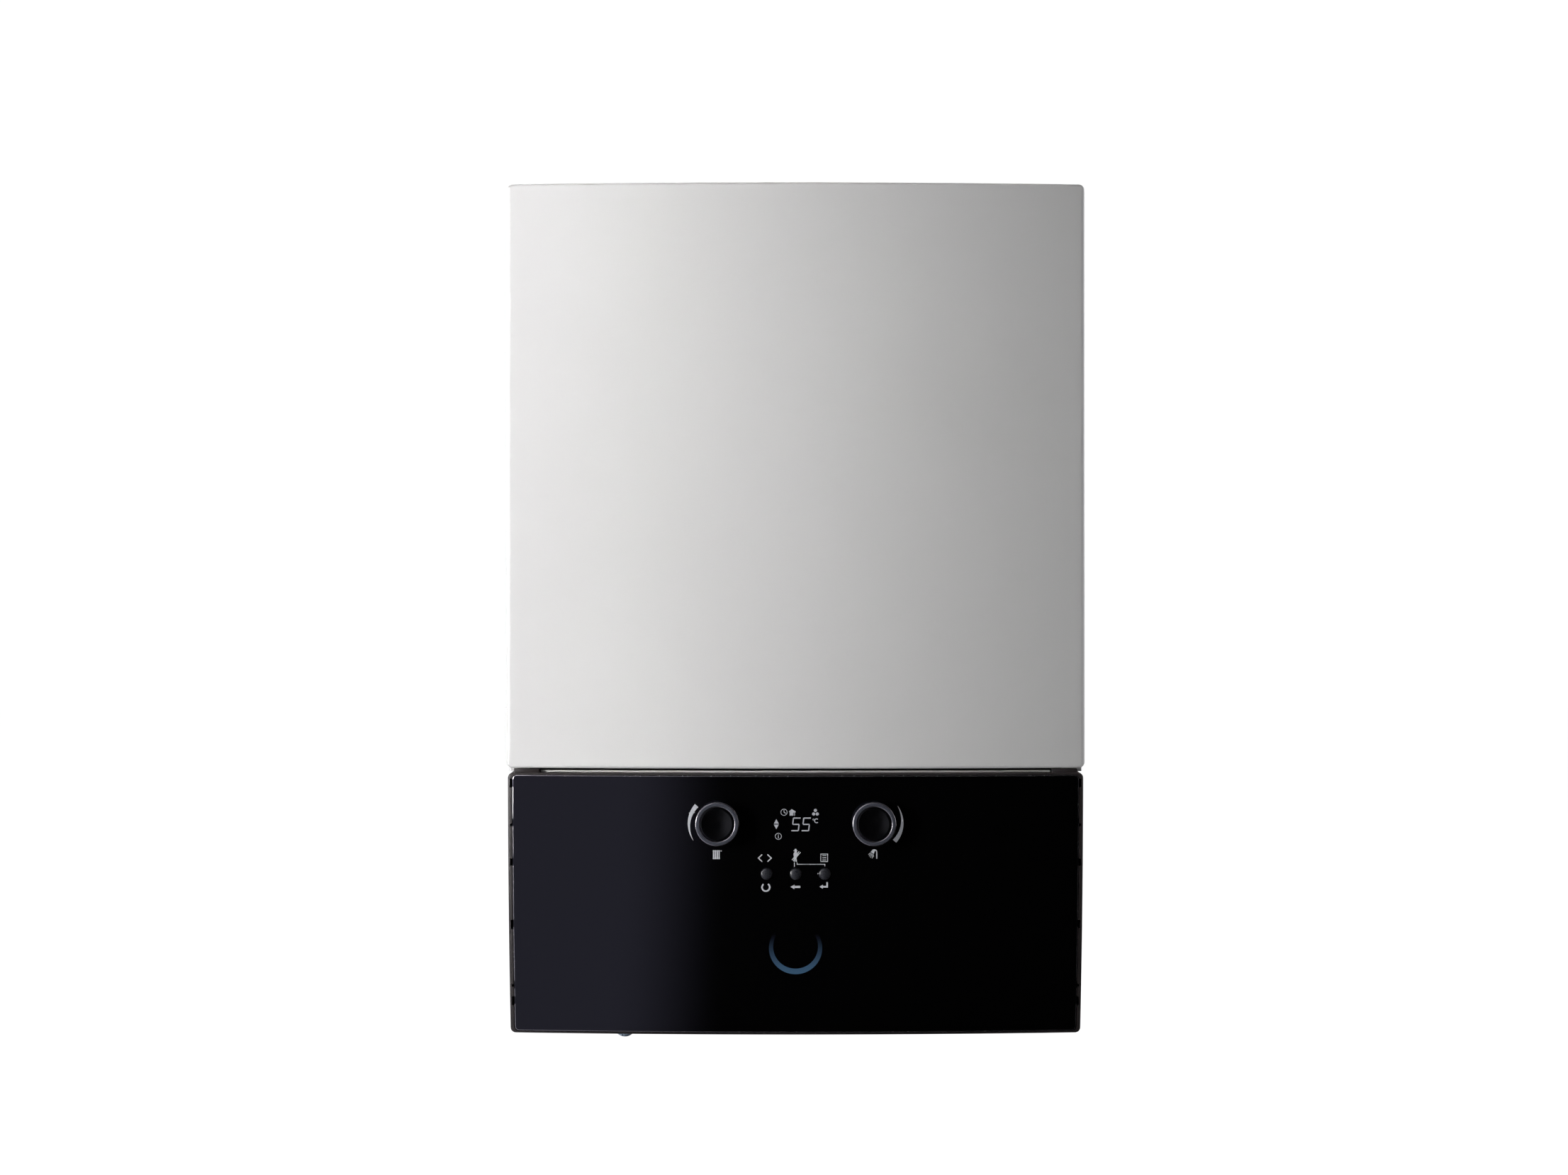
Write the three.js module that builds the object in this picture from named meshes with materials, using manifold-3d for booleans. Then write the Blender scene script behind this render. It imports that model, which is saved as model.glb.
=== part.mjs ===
// Wall-hung condensing combi boiler, in millimetres.
// +Z is up, the front looks along -Y, and the back of the casing lies in the wall plane y = 0.
// The origin is the middle of the back.

import * as THREE from 'three';
import { mergeVertices } from 'three/addons/utils/BufferGeometryUtils.js';
import Module from 'manifold-3d';

const wasm = await Module();
wasm.setup();

// ---------- driving sizes ----------

const WIDTH = 400;
const HEIGHT = 590;
const EDGE_DEPTH = 243;
const FRONT_BULGE = 13;
const COVER_SHEET = 1.2;
const COVER_WRAP = 58;
const COVER_LIP = 6;
const FOAM_SHEET = 5.5;
const CASE_SHEET = 1;
const BACK_SHEET = 1.5;
const BACK_FLANGE = 20;
const SLIDE_GAP = 0.4;
const FIT = 0.3;
const RUN = 0.3;

const SEAM = 3.2;
const PANEL_HEIGHT = 183;
const PANEL_SWEEP = 25.9;
const PANEL_INSET = 1;
const PANEL_DEPTH = 53;
const FRAME_DEPTH = 37.5;
const FRAME_STRIP = 3;
const FRAME_SILL = 1.5;
const FRAME_WALL = 2.5;
const FASCIA = 3;

const HINGE_INSET = 6.5;
const HINGE_HEIGHT = 5;
const HINGE_PIN_R = 2.5;
const HINGE_EYE_R = 4.5;

const COVER_OVERLAP = 7;
const SIDE_FLANGE = 14;
const SEAL_WIDTH = 9;
const SEAL_DEPTH = 5;
const CROSSBAR_HEIGHT = 28;
const CROSSBAR_LEG = 21;
const STUD_INSET = 28;
const STUD_R = 3;

const TRAY_GAP = 3.5;
const TRAY_SHEET = 1.2;
const TRAY_RISE = 2;

const BRACKET_WIDTH = 180;
const BRACKET_HEIGHT = 40;
const BRACKET_SHEET = 2;
const BRACKET_DROP = 20;
const BRACKET_HOLE_R = 4;
const BRACKET_HOLE_SPACING = 120;

const CONNECTION_PITCH = 65;
const CONNECTION_DEPTH = 105;
const CONNECTION_DROP = 13;
const LARGE_PIPE_R = 13;
const SMALL_PIPE_R = 11;
const PIPE_WALL = 2.5;

const FLUE_DEPTH = 115;
const FLUE_INNER_R = 30.4;
const FLUE_OUTER_R = 50.2;
const FLUE_WALL = 1.8;
const FLUE_FLANGE_R = 62;
const FLUE_RISE = 6;

const VESSEL_R = 150;
const VESSEL_DEPTH = 68;
const VESSEL_DROP = 185;
const VESSEL_SEAM = 3;
const VESSEL_WALL = 2;
const VESSEL_SPIGOT_R = 6;
const BRIDGE_SHEET = 2;

const EXCHANGER_R = 85;
const EXCHANGER_LENGTH = 113.6;
const EXCHANGER_DROP = 145;
const EXCHANGER_WALL = 3;
const EXCHANGER_PORT_X = 45;
const COIL_TUBE_R = 5.5;
const COIL_TURNS = 6;
const BURNER_R = 33;
const DOOR_THICKNESS = 8;
const ELBOW_R = 12;

const FAN_INSET = 60;
const FAN_DEPTH = 180;
const FAN_R = 46;
const FAN_THICKNESS = 36;
const FAN_WALL = 3;
const FAN_OUTLET = 30;
const FAN_MOTOR_R = 30;
const FAN_BLADES = 10;
const GAS_VALVE_WIDTH = 56;
const GAS_VALVE_DEPTH = 48;
const GAS_VALVE_HEIGHT = 75;
const GAS_PIPE_R = 7.5;

const PUMP_R = 38;
const PUMP_RISE = 110;
const PUMP_MOTOR_R = 40;
const PUMP_MOTOR_LENGTH = 56;
const PUMP_BLADES = 6;

const PLATES_WIDTH = 156;
const PLATES_HEIGHT = 75;
const PLATES_DEPTH = 46;
const PLATES_RISE = 90;
const RISER_R = 16;

const KNOB_X = 54;
const KNOB_DROP = 34.5;
const KNOB_R = 15;
const KNOB_DISC_R = 11.65;
const KNOB_LENGTH = 9;
const KNOB_WEB = 1.2;
const KNOB_RECESS = 1.5;
const KNOB_SHAFT_R = 3;

const BUTTON_PITCH = 20;
const BUTTON_DROP = 69.4;
const BUTTON_R = 4;
const BUTTON_TRAVEL = 1.2;

const BOARD_SETBACK = 22.6;
const BOARD_RISER = 13.7;
const BOARD_SHEET = 1.6;
const BOARD_MARGIN = 17.5;
const DISPLAY_WIDTH = 52;
const DISPLAY_HEIGHT = 28;
const DISPLAY_DROP = 33.5;

const LIGHT_R = 18.4;
const LIGHT_BORE_R = 15.5;
const LIGHT_BORE_RISE = 1;
const LIGHT_DROP = 121.3;

const FILLING_X = 122;
const FILLING_DEPTH = 150;
const FILLING_KNOB_R = 9;
const FILLING_DROP = 11;

const SIPHON_INSET = 27.1;
const SIPHON_DEPTH = 60;
const SIPHON_R = 18;
const SIPHON_SPIGOT_R = 10;
const SIPHON_HEIGHT = 165;

// ---------- places worked out from them ----------

const halfWidth = WIDTH / 2;
const top = HEIGHT / 2;
const bottom = -HEIGHT / 2;
const panelTop = bottom + PANEL_HEIGHT;
const panelRear = EDGE_DEPTH - PANEL_DEPTH;
const frameRear = EDGE_DEPTH - FRAME_DEPTH;
const sideFront = EDGE_DEPTH - COVER_OVERLAP;
const trayDepth = panelRear - TRAY_GAP;
const boardDepth = EDGE_DEPTH - BOARD_SETBACK;
const coverBottom = panelTop + SEAM;
const sideOuter = halfWidth - COVER_SHEET - SLIDE_GAP;
const sideInner = sideOuter - CASE_SHEET;
const innerHalf = sideInner - FIT;
const lidTop = top - COVER_SHEET - SLIDE_GAP;
const trayBottom = bottom + TRAY_RISE;
const trayTop = trayBottom + TRAY_SHEET;
const frameHalf = halfWidth - PANEL_INSET;
const studX = halfWidth - STUD_INSET;
const fanX = halfWidth - FAN_INSET;
const siphonX = innerHalf - SIPHON_INSET;
const exchangerZ = top - EXCHANGER_DROP;
const pumpZ = bottom + PUMP_RISE;
const pipeY = -CONNECTION_DEPTH;
const hingeY = -(frameRear - HINGE_INSET);
const hingeZ = bottom + HINGE_HEIGHT;
const stubTopZ = bottom + 20;

const frontY = (x) => -(EDGE_DEPTH + FRONT_BULGE * (1 - (x / halfWidth) ** 2));
const panelY = (x, z) => frontY(x) + PANEL_SWEEP * ((panelTop - z) / PANEL_HEIGHT) ** 2;

// ---------- solids ----------

function toSolid(geometry) {
  const bare = geometry.clone();
  bare.deleteAttribute('normal');
  bare.deleteAttribute('uv');
  const merged = mergeVertices(bare, 1e-4);
  const vertProperties = new Float32Array(merged.attributes.position.array);
  const triVerts = new Uint32Array(merged.index.array);
  return new wasm.Manifold(new wasm.Mesh({ numProp: 3, vertProperties, triVerts }));
}

function toGeometry(solid) {
  const mesh = solid.getMesh();
  const geometry = new THREE.BufferGeometry();
  geometry.setAttribute('position', new THREE.BufferAttribute(mesh.vertProperties, 3));
  geometry.setIndex(new THREE.BufferAttribute(mesh.triVerts, 1));
  geometry.computeVertexNormals();
  return geometry;
}

const join = (...solids) => solids.reduce((whole, piece) => whole.add(piece));
const cut = (solid, ...tools) => tools.reduce((rest, tool) => rest.subtract(tool), solid);

function block(x0, x1, y0, y1, z0, z1) {
  const geometry = new THREE.BoxGeometry(Math.abs(x1 - x0), Math.abs(y1 - y0), Math.abs(z1 - z0));
  geometry.translate((x0 + x1) / 2, (y0 + y1) / 2, (z0 + z1) / 2);
  return toSolid(geometry);
}

// Turns a geometry built along +Y so that it lies along the named axis.
function alignTo(geometry, axis) {
  if (axis === 'x') geometry.rotateZ(-Math.PI / 2);
  if (axis === 'z') geometry.rotateX(Math.PI / 2);
  return geometry;
}

// A round bar along an axis, from one coordinate to another, at a centre given as [x, y, z].
function rod(axis, from, to, centre, radius, sides = 24) {
  const geometry = new THREE.CylinderGeometry(radius, radius, Math.abs(to - from), sides);
  alignTo(geometry, axis);
  const place = [...centre];
  place['xyz'.indexOf(axis)] = (from + to) / 2;
  geometry.translate(...place);
  return toSolid(geometry);
}

// A turned piece: a profile of [radius, distance along the axis] that starts and ends on the axis.
function turned(axis, profile, centre, sides = 32) {
  const points = profile.map(([radius, along]) => new THREE.Vector2(radius, along));
  const geometry = new THREE.LatheGeometry(points, sides);
  alignTo(geometry, axis);
  geometry.translate(...centre);
  return toSolid(geometry);
}

// A flat outline pushed along x or z: its points are [y, z] or [x, y].
function pushed(axis, outline, from, to) {
  const shape = new THREE.Shape(outline.map(([a, b]) => new THREE.Vector2(a, b)));
  const geometry = new THREE.ExtrudeGeometry(shape, { depth: Math.abs(to - from), bevelEnabled: false });
  if (axis === 'x') {
    geometry.rotateX(Math.PI / 2);
    geometry.rotateZ(Math.PI / 2);
  }
  const low = Math.min(from, to);
  geometry.translate(axis === 'x' ? low : 0, 0, axis === 'z' ? low : 0);
  return toSolid(geometry);
}

// A bent tube: straight runs between the points, with each corner rounded.
function pipe(points, radius, bend, sides = 8) {
  const corners = points.map((point) => new THREE.Vector3(...point));
  const route = [corners[0]];
  for (let i = 1; i < corners.length - 1; i += 1) {
    const before = corners[i].clone().sub(corners[i - 1]);
    const after = corners[i + 1].clone().sub(corners[i]);
    const reach = Math.min(bend, before.length() / 2.1, after.length() / 2.1);
    const start = corners[i].clone().addScaledVector(before.normalize(), -reach);
    const end = corners[i].clone().addScaledVector(after.normalize(), reach);
    route.push(...new THREE.QuadraticBezierCurve3(start, corners[i], end).getPoints(4));
  }
  route.push(corners[corners.length - 1]);
  return sweep(route, radius, sides);
}

// A tube with a ring of points square to the route at each of its points.
function sweep(route, radius, sides) {
  const positions = [];
  const index = [];
  let side = null;
  route.forEach((point, i) => {
    const back = i > 0 ? point.clone().sub(route[i - 1]).normalize() : null;
    const ahead = i < route.length - 1 ? route[i + 1].clone().sub(point).normalize() : null;
    const along = (back && ahead ? back.clone().add(ahead) : back || ahead).normalize();
    if (!side) side = Math.abs(along.x) < 0.9 ? new THREE.Vector3(1, 0, 0) : new THREE.Vector3(0, 1, 0);
    side = side.clone().addScaledVector(along, -side.dot(along)).normalize();
    const other = along.clone().cross(side);
    for (let j = 0; j < sides; j += 1) {
      const angle = (j / sides) * Math.PI * 2;
      const ring = point.clone().addScaledVector(side, radius * Math.cos(angle));
      ring.addScaledVector(other, radius * Math.sin(angle));
      positions.push(ring.x, ring.y, ring.z);
    }
  });
  const last = (route.length - 1) * sides;
  for (let i = 0; i < route.length - 1; i += 1) {
    for (let j = 0; j < sides; j += 1) {
      const a = i * sides + j;
      const b = i * sides + ((j + 1) % sides);
      index.push(a, b, b + sides, a, b + sides, a + sides);
    }
  }
  for (let j = 1; j < sides - 1; j += 1) {
    index.push(0, j + 1, j, last, last + j, last + j + 1);
  }
  const geometry = new THREE.BufferGeometry();
  geometry.setAttribute('position', new THREE.Float32BufferAttribute(positions, 3));
  geometry.setIndex(index);
  return toSolid(geometry);
}

// A slab whose front and rear follow the given surfaces.
function curvedSlab(x0, x1, z0, z1, front, rear, columns = 12, rows = 6) {
  const geometry = new THREE.BoxGeometry(x1 - x0, 2, z1 - z0, columns, 1, rows);
  geometry.translate((x0 + x1) / 2, 0, (z0 + z1) / 2);
  const place = geometry.attributes.position;
  for (let i = 0; i < place.count; i += 1) {
    const surface = place.getY(i) < 0 ? front : rear;
    place.setY(i, surface(place.getX(i), place.getZ(i)));
  }
  return toSolid(geometry);
}

const flat = (y) => () => y;
const behindFront = (distance) => (x) => frontY(x) + distance;
const behindPanel = (distance) => (x, z) => panelY(x, z) + distance;

// ---------- finishes ----------

const finish = (color, roughness, metalness) => new THREE.MeshStandardMaterial({
  color, roughness, metalness,
});
const whitePaint = finish(0xe9e7e3, 0.35, 0);
const zinc = finish(0x9fa3a6, 0.45, 0.9);
const glossBlack = finish(0x0b0b0c, 0.08, 0);
const darkPlastic = finish(0x2a2828, 0.5, 0);
const satinGrey = finish(0x33363c, 0.4, 0);
const lightGuide = finish(0x35557f, 0.3, 0);
const displayGlass = finish(0x1c2024, 0.15, 0);
const circuitBoard = finish(0x1f5a34, 0.6, 0);
const steel = finish(0xb9bcbe, 0.3, 1);
const castMetal = finish(0x8d9093, 0.55, 0.9);
const brass = finish(0xb08d4c, 0.35, 1);
const copper = finish(0xb4714a, 0.3, 1);
const redPaint = finish(0xa32a24, 0.4, 0);
const blackRubber = finish(0x161616, 0.8, 0);
const greyFoam = finish(0x5a5c5e, 0.95, 0);
const bluePlastic = finish(0x7f9cc4, 0.4, 0);
const greyPlastic = finish(0x8b8f94, 0.5, 0);
const whitePlastic = finish(0xe6e6e2, 0.45, 0);
const ceramic = finish(0xf0ece2, 0.3, 0);

const boiler = new THREE.Group();
const casing = new THREE.Group();
const cover = new THREE.Group();
const panel = new THREE.Group();
boiler.add(casing, cover, panel);

function put(group, name, material, solid, place = [0, 0, 0]) {
  const mesh = new THREE.Mesh(toGeometry(solid), material);
  mesh.name = name;
  mesh.position.set(...place);
  group.add(mesh);
}

// ---------- casing ----------

const backTop = lidTop - CASE_SHEET - FIT;
const bracketTop = top - BRACKET_DROP;
const bracketBottom = bracketTop - BRACKET_HEIGHT;
const hookThroat = BACK_SHEET + 1;
const hookDepth = hookThroat + BRACKET_SHEET;
const hookRise = 10;

function backFrame() {
  const windowHalf = BRACKET_WIDTH / 2 + 3;
  const plate = block(-innerHalf, innerHalf, -BACK_SHEET, 0, trayBottom, backTop);
  const flanges = [-1, 1].map((side) => block(
    side * (innerHalf - BACK_SHEET), side * innerHalf, -BACK_FLANGE, 0, trayBottom, backTop,
  ));
  const window = block(-windowHalf, windowHalf, -BACK_FLANGE, 1, bracketBottom - 2, bracketTop + FIT);
  return cut(join(plate, ...flanges), window);
}

function wallBracket() {
  const outline = [
    [0, bracketBottom], [0, bracketTop], [-hookThroat, bracketTop], [-hookThroat, bracketTop + hookRise],
    [-hookDepth, bracketTop + hookRise], [-hookDepth, bracketTop - BRACKET_SHEET],
    [-BRACKET_SHEET, bracketTop - BRACKET_SHEET], [-BRACKET_SHEET, bracketBottom],
  ];
  const rail = pushed('x', outline, -BRACKET_WIDTH / 2, BRACKET_WIDTH / 2);
  const holeZ = bracketBottom + BRACKET_HEIGHT / 2;
  const holes = [-1, 1].map((side) => rod(
    'y', -hookDepth, 1, [side * BRACKET_HOLE_SPACING / 2, 0, holeZ], BRACKET_HOLE_R, 16,
  ));
  return cut(rail, ...holes);
}

function sidePanel(side) {
  const notchDepth = frameRear - 1.8;
  const shoulder = panelTop + 0.7;
  const outline = [
    [0, trayBottom], [0, lidTop], [-sideFront, lidTop], [-sideFront, shoulder],
    [-notchDepth, shoulder], [-notchDepth, trayBottom],
  ];
  const sheet = pushed('x', outline, side * sideInner, side * sideOuter);
  const flange = block(
    side * (sideOuter - SIDE_FLANGE), side * sideOuter, -sideFront, -sideFront + CASE_SHEET,
    shoulder, lidTop - CASE_SHEET - FIT,
  );
  return join(sheet, flange);
}

function topPanel() {
  const under = lidTop - CASE_SHEET;
  const flangeHalf = sideOuter - SIDE_FLANGE - FIT;
  const sheet = block(-innerHalf, innerHalf, -sideFront, 0, under, lidTop);
  const flange = block(
    -flangeHalf, flangeHalf, -sideFront, -sideFront + CASE_SHEET, under - SIDE_FLANGE, under + 0.1,
  );
  const hole = rod('z', under - 1, lidTop + 1, [0, -FLUE_DEPTH, 0], FLUE_OUTER_R + FLUE_WALL + FIT, 28);
  return cut(join(sheet, flange), hole);
}

function bottomTray() {
  const half = innerHalf - BACK_SHEET - FIT;
  const back = -BACK_SHEET - FIT;
  const rim = 10;
  const sheet = block(-half, half, -trayDepth, back, trayBottom, trayTop);
  const upstand = block(-half, half, -trayDepth, -trayDepth + TRAY_SHEET, trayBottom, trayBottom + rim);
  const ears = [-1, 1].map((side) => {
    const inner = half - 3.3;
    const outer = half - 0.3;
    const arm = block(
      side * inner, side * outer, hingeY, -trayDepth + TRAY_SHEET,
      hingeZ - HINGE_EYE_R, hingeZ + HINGE_EYE_R,
    );
    const eye = rod('x', side * inner, side * outer, [0, hingeY, hingeZ], HINGE_EYE_R, 16);
    const pin = rod('x', side * (inner - 4.8), side * outer, [0, hingeY, hingeZ], HINGE_PIN_R, 16);
    return join(arm, eye, pin);
  });
  const drill = (x, y, radius) => rod('z', trayBottom - 1, trayTop + 1, [x, y, 0], radius, 18);
  const holes = [-2, -1, 0, 1, 2].map((step) => drill(
    step * CONNECTION_PITCH, pipeY, (step % 2 ? SMALL_PIPE_R : LARGE_PIPE_R) + FIT,
  ));
  holes.push(drill(-FILLING_X, -FILLING_DEPTH, FILLING_KNOB_R + 2));
  holes.push(drill(-siphonX, -SIPHON_DEPTH, SIPHON_SPIGOT_R + FIT));
  return cut(join(sheet, upstand, ...ears), ...holes);
}

const crossbarBottom = coverBottom + 2.8;
const crossbarTop = crossbarBottom + CROSSBAR_HEIGHT;
const studZ = crossbarTop - 9;

function frontCrossbar() {
  const half = sideOuter - SIDE_FLANGE - FIT;
  const face = block(-half, half, -sideFront, -sideFront + TRAY_SHEET, crossbarBottom, crossbarTop);
  const leg = block(
    -innerHalf, innerHalf, -sideFront + CASE_SHEET + FIT, -sideFront + CROSSBAR_LEG,
    crossbarBottom, crossbarBottom + TRAY_SHEET,
  );
  const fold = block(
    -half, half, -sideFront, -sideFront + CASE_SHEET + 1, crossbarBottom, crossbarBottom + TRAY_SHEET,
  );
  const sockets = [-1, 1].map((side) => rod(
    'y', -sideFront, -sideFront + 10, [side * studX, 0, studZ], STUD_R + 3, 16,
  ));
  const bores = [-1, 1].map((side) => rod(
    'y', -sideFront - 1, -sideFront + 11, [side * studX, 0, studZ], STUD_R + SLIDE_GAP, 16,
  ));
  return cut(join(face, leg, fold, ...sockets), ...bores);
}

function casingSeal() {
  const outer = sideOuter - 2.4;
  const inner = outer - SEAL_WIDTH;
  const rear = -sideFront - FIT;
  const low = crossbarBottom + 1.5;
  const high = lidTop - 2.4;
  const ring = block(-outer, outer, rear - SEAL_DEPTH, rear, low, high);
  const middle = block(-inner, inner, rear - SEAL_DEPTH - 1, rear + 1, low + SEAL_WIDTH, high - SEAL_WIDTH);
  return cut(ring, middle);
}

put(casing, 'back_frame', zinc, backFrame());
put(casing, 'wall_bracket', zinc, wallBracket());
put(casing, 'left_side_panel', whitePaint, sidePanel(-1));
put(casing, 'right_side_panel', whitePaint, sidePanel(1));
put(casing, 'top_panel', whitePaint, topPanel());

// ---------- condensate siphon ----------

function condensateSiphon() {
  const seat = trayTop + FIT;
  const body = turned('z', [
    [0, 0], [SIPHON_R, 0], [SIPHON_R, SIPHON_HEIGHT - 20], [12, SIPHON_HEIGHT - 12],
    [12, SIPHON_HEIGHT], [0, SIPHON_HEIGHT],
  ], [-siphonX, -SIPHON_DEPTH, seat], 20);
  const spigot = rod(
    'z', bottom - CONNECTION_DROP + 5, seat + 1, [-siphonX, -SIPHON_DEPTH, 0], SIPHON_SPIGOT_R, 16,
  );
  return join(body, spigot);
}

put(casing, 'bottom_tray', zinc, bottomTray());
put(casing, 'front_crossbar', zinc, frontCrossbar());
put(casing, 'casing_seal', blackRubber, casingSeal());
put(casing, 'condensate_siphon', greyPlastic, condensateSiphon());

// ---------- front cover ----------

function frontCover() {
  const lining = halfWidth - COVER_SHEET;
  const back = -EDGE_DEPTH + COVER_WRAP;
  const outer = curvedSlab(-halfWidth, halfWidth, coverBottom, top, behindFront(0), flat(back), 12, 1);
  const inside = curvedSlab(
    -lining, lining, coverBottom + COVER_SHEET, top - COVER_SHEET,
    behindFront(COVER_SHEET), flat(back + 1), 12, 1,
  );
  const lipBack = -EDGE_DEPTH + COVER_LIP;
  const mouth = block(-lining, lining, lipBack, back + 1, coverBottom - 1, coverBottom + 5);
  const studs = [-1, 1].map((side) => rod(
    'y', frontY(studX) + COVER_SHEET / 2, -sideFront + 8, [side * studX, 0, studZ], STUD_R, 16,
  ));
  return join(cut(outer, inside, mouth), ...studs);
}

function coverInsulation() {
  const half = halfWidth - 20;
  const gap = COVER_SHEET + FIT;
  return curvedSlab(
    -half, half, crossbarTop + 3, top - 15, behindFront(gap), behindFront(gap + FOAM_SHEET), 12, 1,
  );
}

put(cover, 'front_cover', whitePaint, frontCover());
put(cover, 'cover_insulation', greyFoam, coverInsulation());

// ---------- flue ----------

const exchangerTop = exchangerZ + EXCHANGER_R;
const stubTop = exchangerTop + 12;
const socketFoot = stubTop + 9;
const flueTop = top + FLUE_RISE;
const ductR = FLUE_INNER_R - 0.4;

function flueAdapter() {
  const axis = [0, -FLUE_DEPTH, 0];
  const collarR = FLUE_OUTER_R + FLUE_WALL;
  const innerR = FLUE_INNER_R + FLUE_WALL;
  const seat = lidTop + FIT;
  const collar = cut(
    rod('z', top - 33, flueTop, axis, collarR, 28),
    rod('z', top - 34, flueTop + 1, axis, FLUE_OUTER_R, 28),
  );
  const flange = cut(
    rod('z', seat, seat + 2.5, axis, FLUE_FLANGE_R, 28),
    rod('z', seat - 1, seat + 4, axis, FLUE_OUTER_R + 0.5, 28),
  );
  const socket = cut(
    rod('z', socketFoot, flueTop, axis, innerR, 24),
    rod('z', socketFoot - 1, flueTop + 1, axis, FLUE_INNER_R, 24),
  );
  const webs = [90, 210, 330].map((degrees) => {
    const web = new THREE.BoxGeometry(FLUE_OUTER_R - innerR + 1.5, 3, 13);
    web.translate((FLUE_OUTER_R + innerR) / 2, 0, top - 26);
    web.rotateZ(THREE.MathUtils.degToRad(degrees));
    web.translate(0, -FLUE_DEPTH, 0);
    return toSolid(web);
  });
  return join(collar, flange, socket, ...webs);
}

function flueDuct() {
  const axis = [0, -FLUE_DEPTH, 0];
  return cut(
    rod('z', exchangerTop + 3, socketFoot + 12, axis, ductR, 24),
    rod('z', exchangerTop + 2, socketFoot + 13, axis, ductR - 1.6, 24),
  );
}

put(casing, 'flue_adapter', whitePlastic, flueAdapter());
put(casing, 'flue_duct', greyPlastic, flueDuct());

// ---------- expansion vessel and the bridge over it ----------

const vesselBack = -(BACK_SHEET + FIT);
const vesselFront = vesselBack - VESSEL_DEPTH;
const bridgeBack = vesselFront - FIT;
const bridgeFront = bridgeBack - BRIDGE_SHEET;

const vesselZ = top - VESSEL_DROP;
const vesselBottom = vesselZ - VESSEL_R - VESSEL_SEAM;

// Two deep-drawn halves with a rolled seam, hollow, and open at the water connection below.
function expansionVessel() {
  const half = VESSEL_DEPTH / 2;
  const axis = [0, vesselBack - half, vesselZ];
  const dished = (radius, reach) => [
    [0, -reach], [radius - 32, -reach], [radius - 15, -reach + 6], [radius - 3, -reach + 20],
    [radius, -3], [radius, 3],
    [radius - 3, reach - 20], [radius - 15, reach - 6], [radius - 32, reach], [0, reach],
  ];
  const shell = turned('y', dished(VESSEL_R, half), axis, 28);
  const seam = rod('y', axis[1] - 2, axis[1] + 2, axis, VESSEL_R + VESSEL_SEAM, 28);
  const spigot = rod('z', vesselBottom - 10, vesselBottom + 10, axis, VESSEL_SPIGOT_R, 14);
  const hollow = turned('y', dished(VESSEL_R - VESSEL_WALL, half - VESSEL_WALL), axis, 28);
  const bore = rod('z', vesselBottom - 11, vesselBottom + 20, axis, VESSEL_SPIGOT_R - VESSEL_WALL, 14);
  return cut(join(shell, seam, spigot), hollow, bore);
}

function exchangerBridge() {
  const leg = VESSEL_R + 13;
  const foot = leg + 22;
  const footFront = vesselBack - BRIDGE_SHEET;
  const right = [
    [foot, vesselBack], [foot, footFront], [leg + BRIDGE_SHEET, footFront], [leg + BRIDGE_SHEET, bridgeFront],
  ];
  const rightInner = [[leg, bridgeBack], [leg, vesselBack]];
  const mirror = (points) => points.map(([x, y]) => [-x, y]).reverse();
  const outline = [...right, ...mirror(right), ...mirror(rightInner), ...rightInner];
  return pushed('z', outline, exchangerZ - 30, exchangerZ + 30);
}

put(casing, 'expansion_vessel', redPaint, expansionVessel());
put(casing, 'exchanger_bridge', zinc, exchangerBridge());

// ---------- heat exchanger and burner ----------

const exchangerBack = bridgeFront - FIT;
const exchangerFront = exchangerBack - EXCHANGER_LENGTH;
const exchangerBoreR = EXCHANGER_R - EXCHANGER_WALL;
const portFoot = exchangerZ - EXCHANGER_R - 10;
const drainY = exchangerBack - 68;

function exchangerHousing() {
  const axis = [0, 0, exchangerZ];
  const shell = rod('y', exchangerFront, exchangerBack, axis, EXCHANGER_R, 32);
  const flue = rod('z', exchangerZ + 60, stubTop, [0, -FLUE_DEPTH, 0], FLUE_INNER_R + 2.6, 24);
  const ports = [-1, 1].map((side) => rod(
    'z', portFoot, exchangerZ - 60, [side * EXCHANGER_PORT_X, pipeY, 0], LARGE_PIPE_R - 2, 12,
  ));
  const drain = rod('z', portFoot - 5, exchangerZ - 75, [0, drainY, 0], 12, 12);
  const bore = rod('y', exchangerFront - 1, exchangerBack - EXCHANGER_WALL, axis, exchangerBoreR, 32);
  const flueBore = rod('z', exchangerZ + 60, stubTop + 1, [0, -FLUE_DEPTH, 0], FLUE_INNER_R, 24);
  const drainBore = rod('z', portFoot - 6, exchangerZ - 75, [0, drainY, 0], 9, 12);
  return cut(join(shell, flue, ...ports, drain), bore, flueBore, drainBore);
}

function exchangerCoil() {
  const turnR = exchangerBoreR - COIL_TUBE_R - 0.9;
  const pitch = (EXCHANGER_LENGTH - EXCHANGER_WALL - 30) / COIL_TURNS;
  const start = exchangerBack - EXCHANGER_WALL - 10;
  const stepsPerTurn = 12;
  const route = [];
  for (let i = 0; i <= COIL_TURNS * stepsPerTurn; i += 1) {
    const angle = (i / stepsPerTurn) * Math.PI * 2;
    route.push(new THREE.Vector3(
      turnR * Math.cos(angle), start - (pitch * i) / stepsPerTurn, exchangerZ + turnR * Math.sin(angle),
    ));
  }
  return sweep(route, COIL_TUBE_R, 5);
}

const doorBack = exchangerFront - FIT;
const doorFront = doorBack - DOOR_THICKNESS;
const bossFront = doorFront - 5;
const electrodeDrop = 52;

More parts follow.
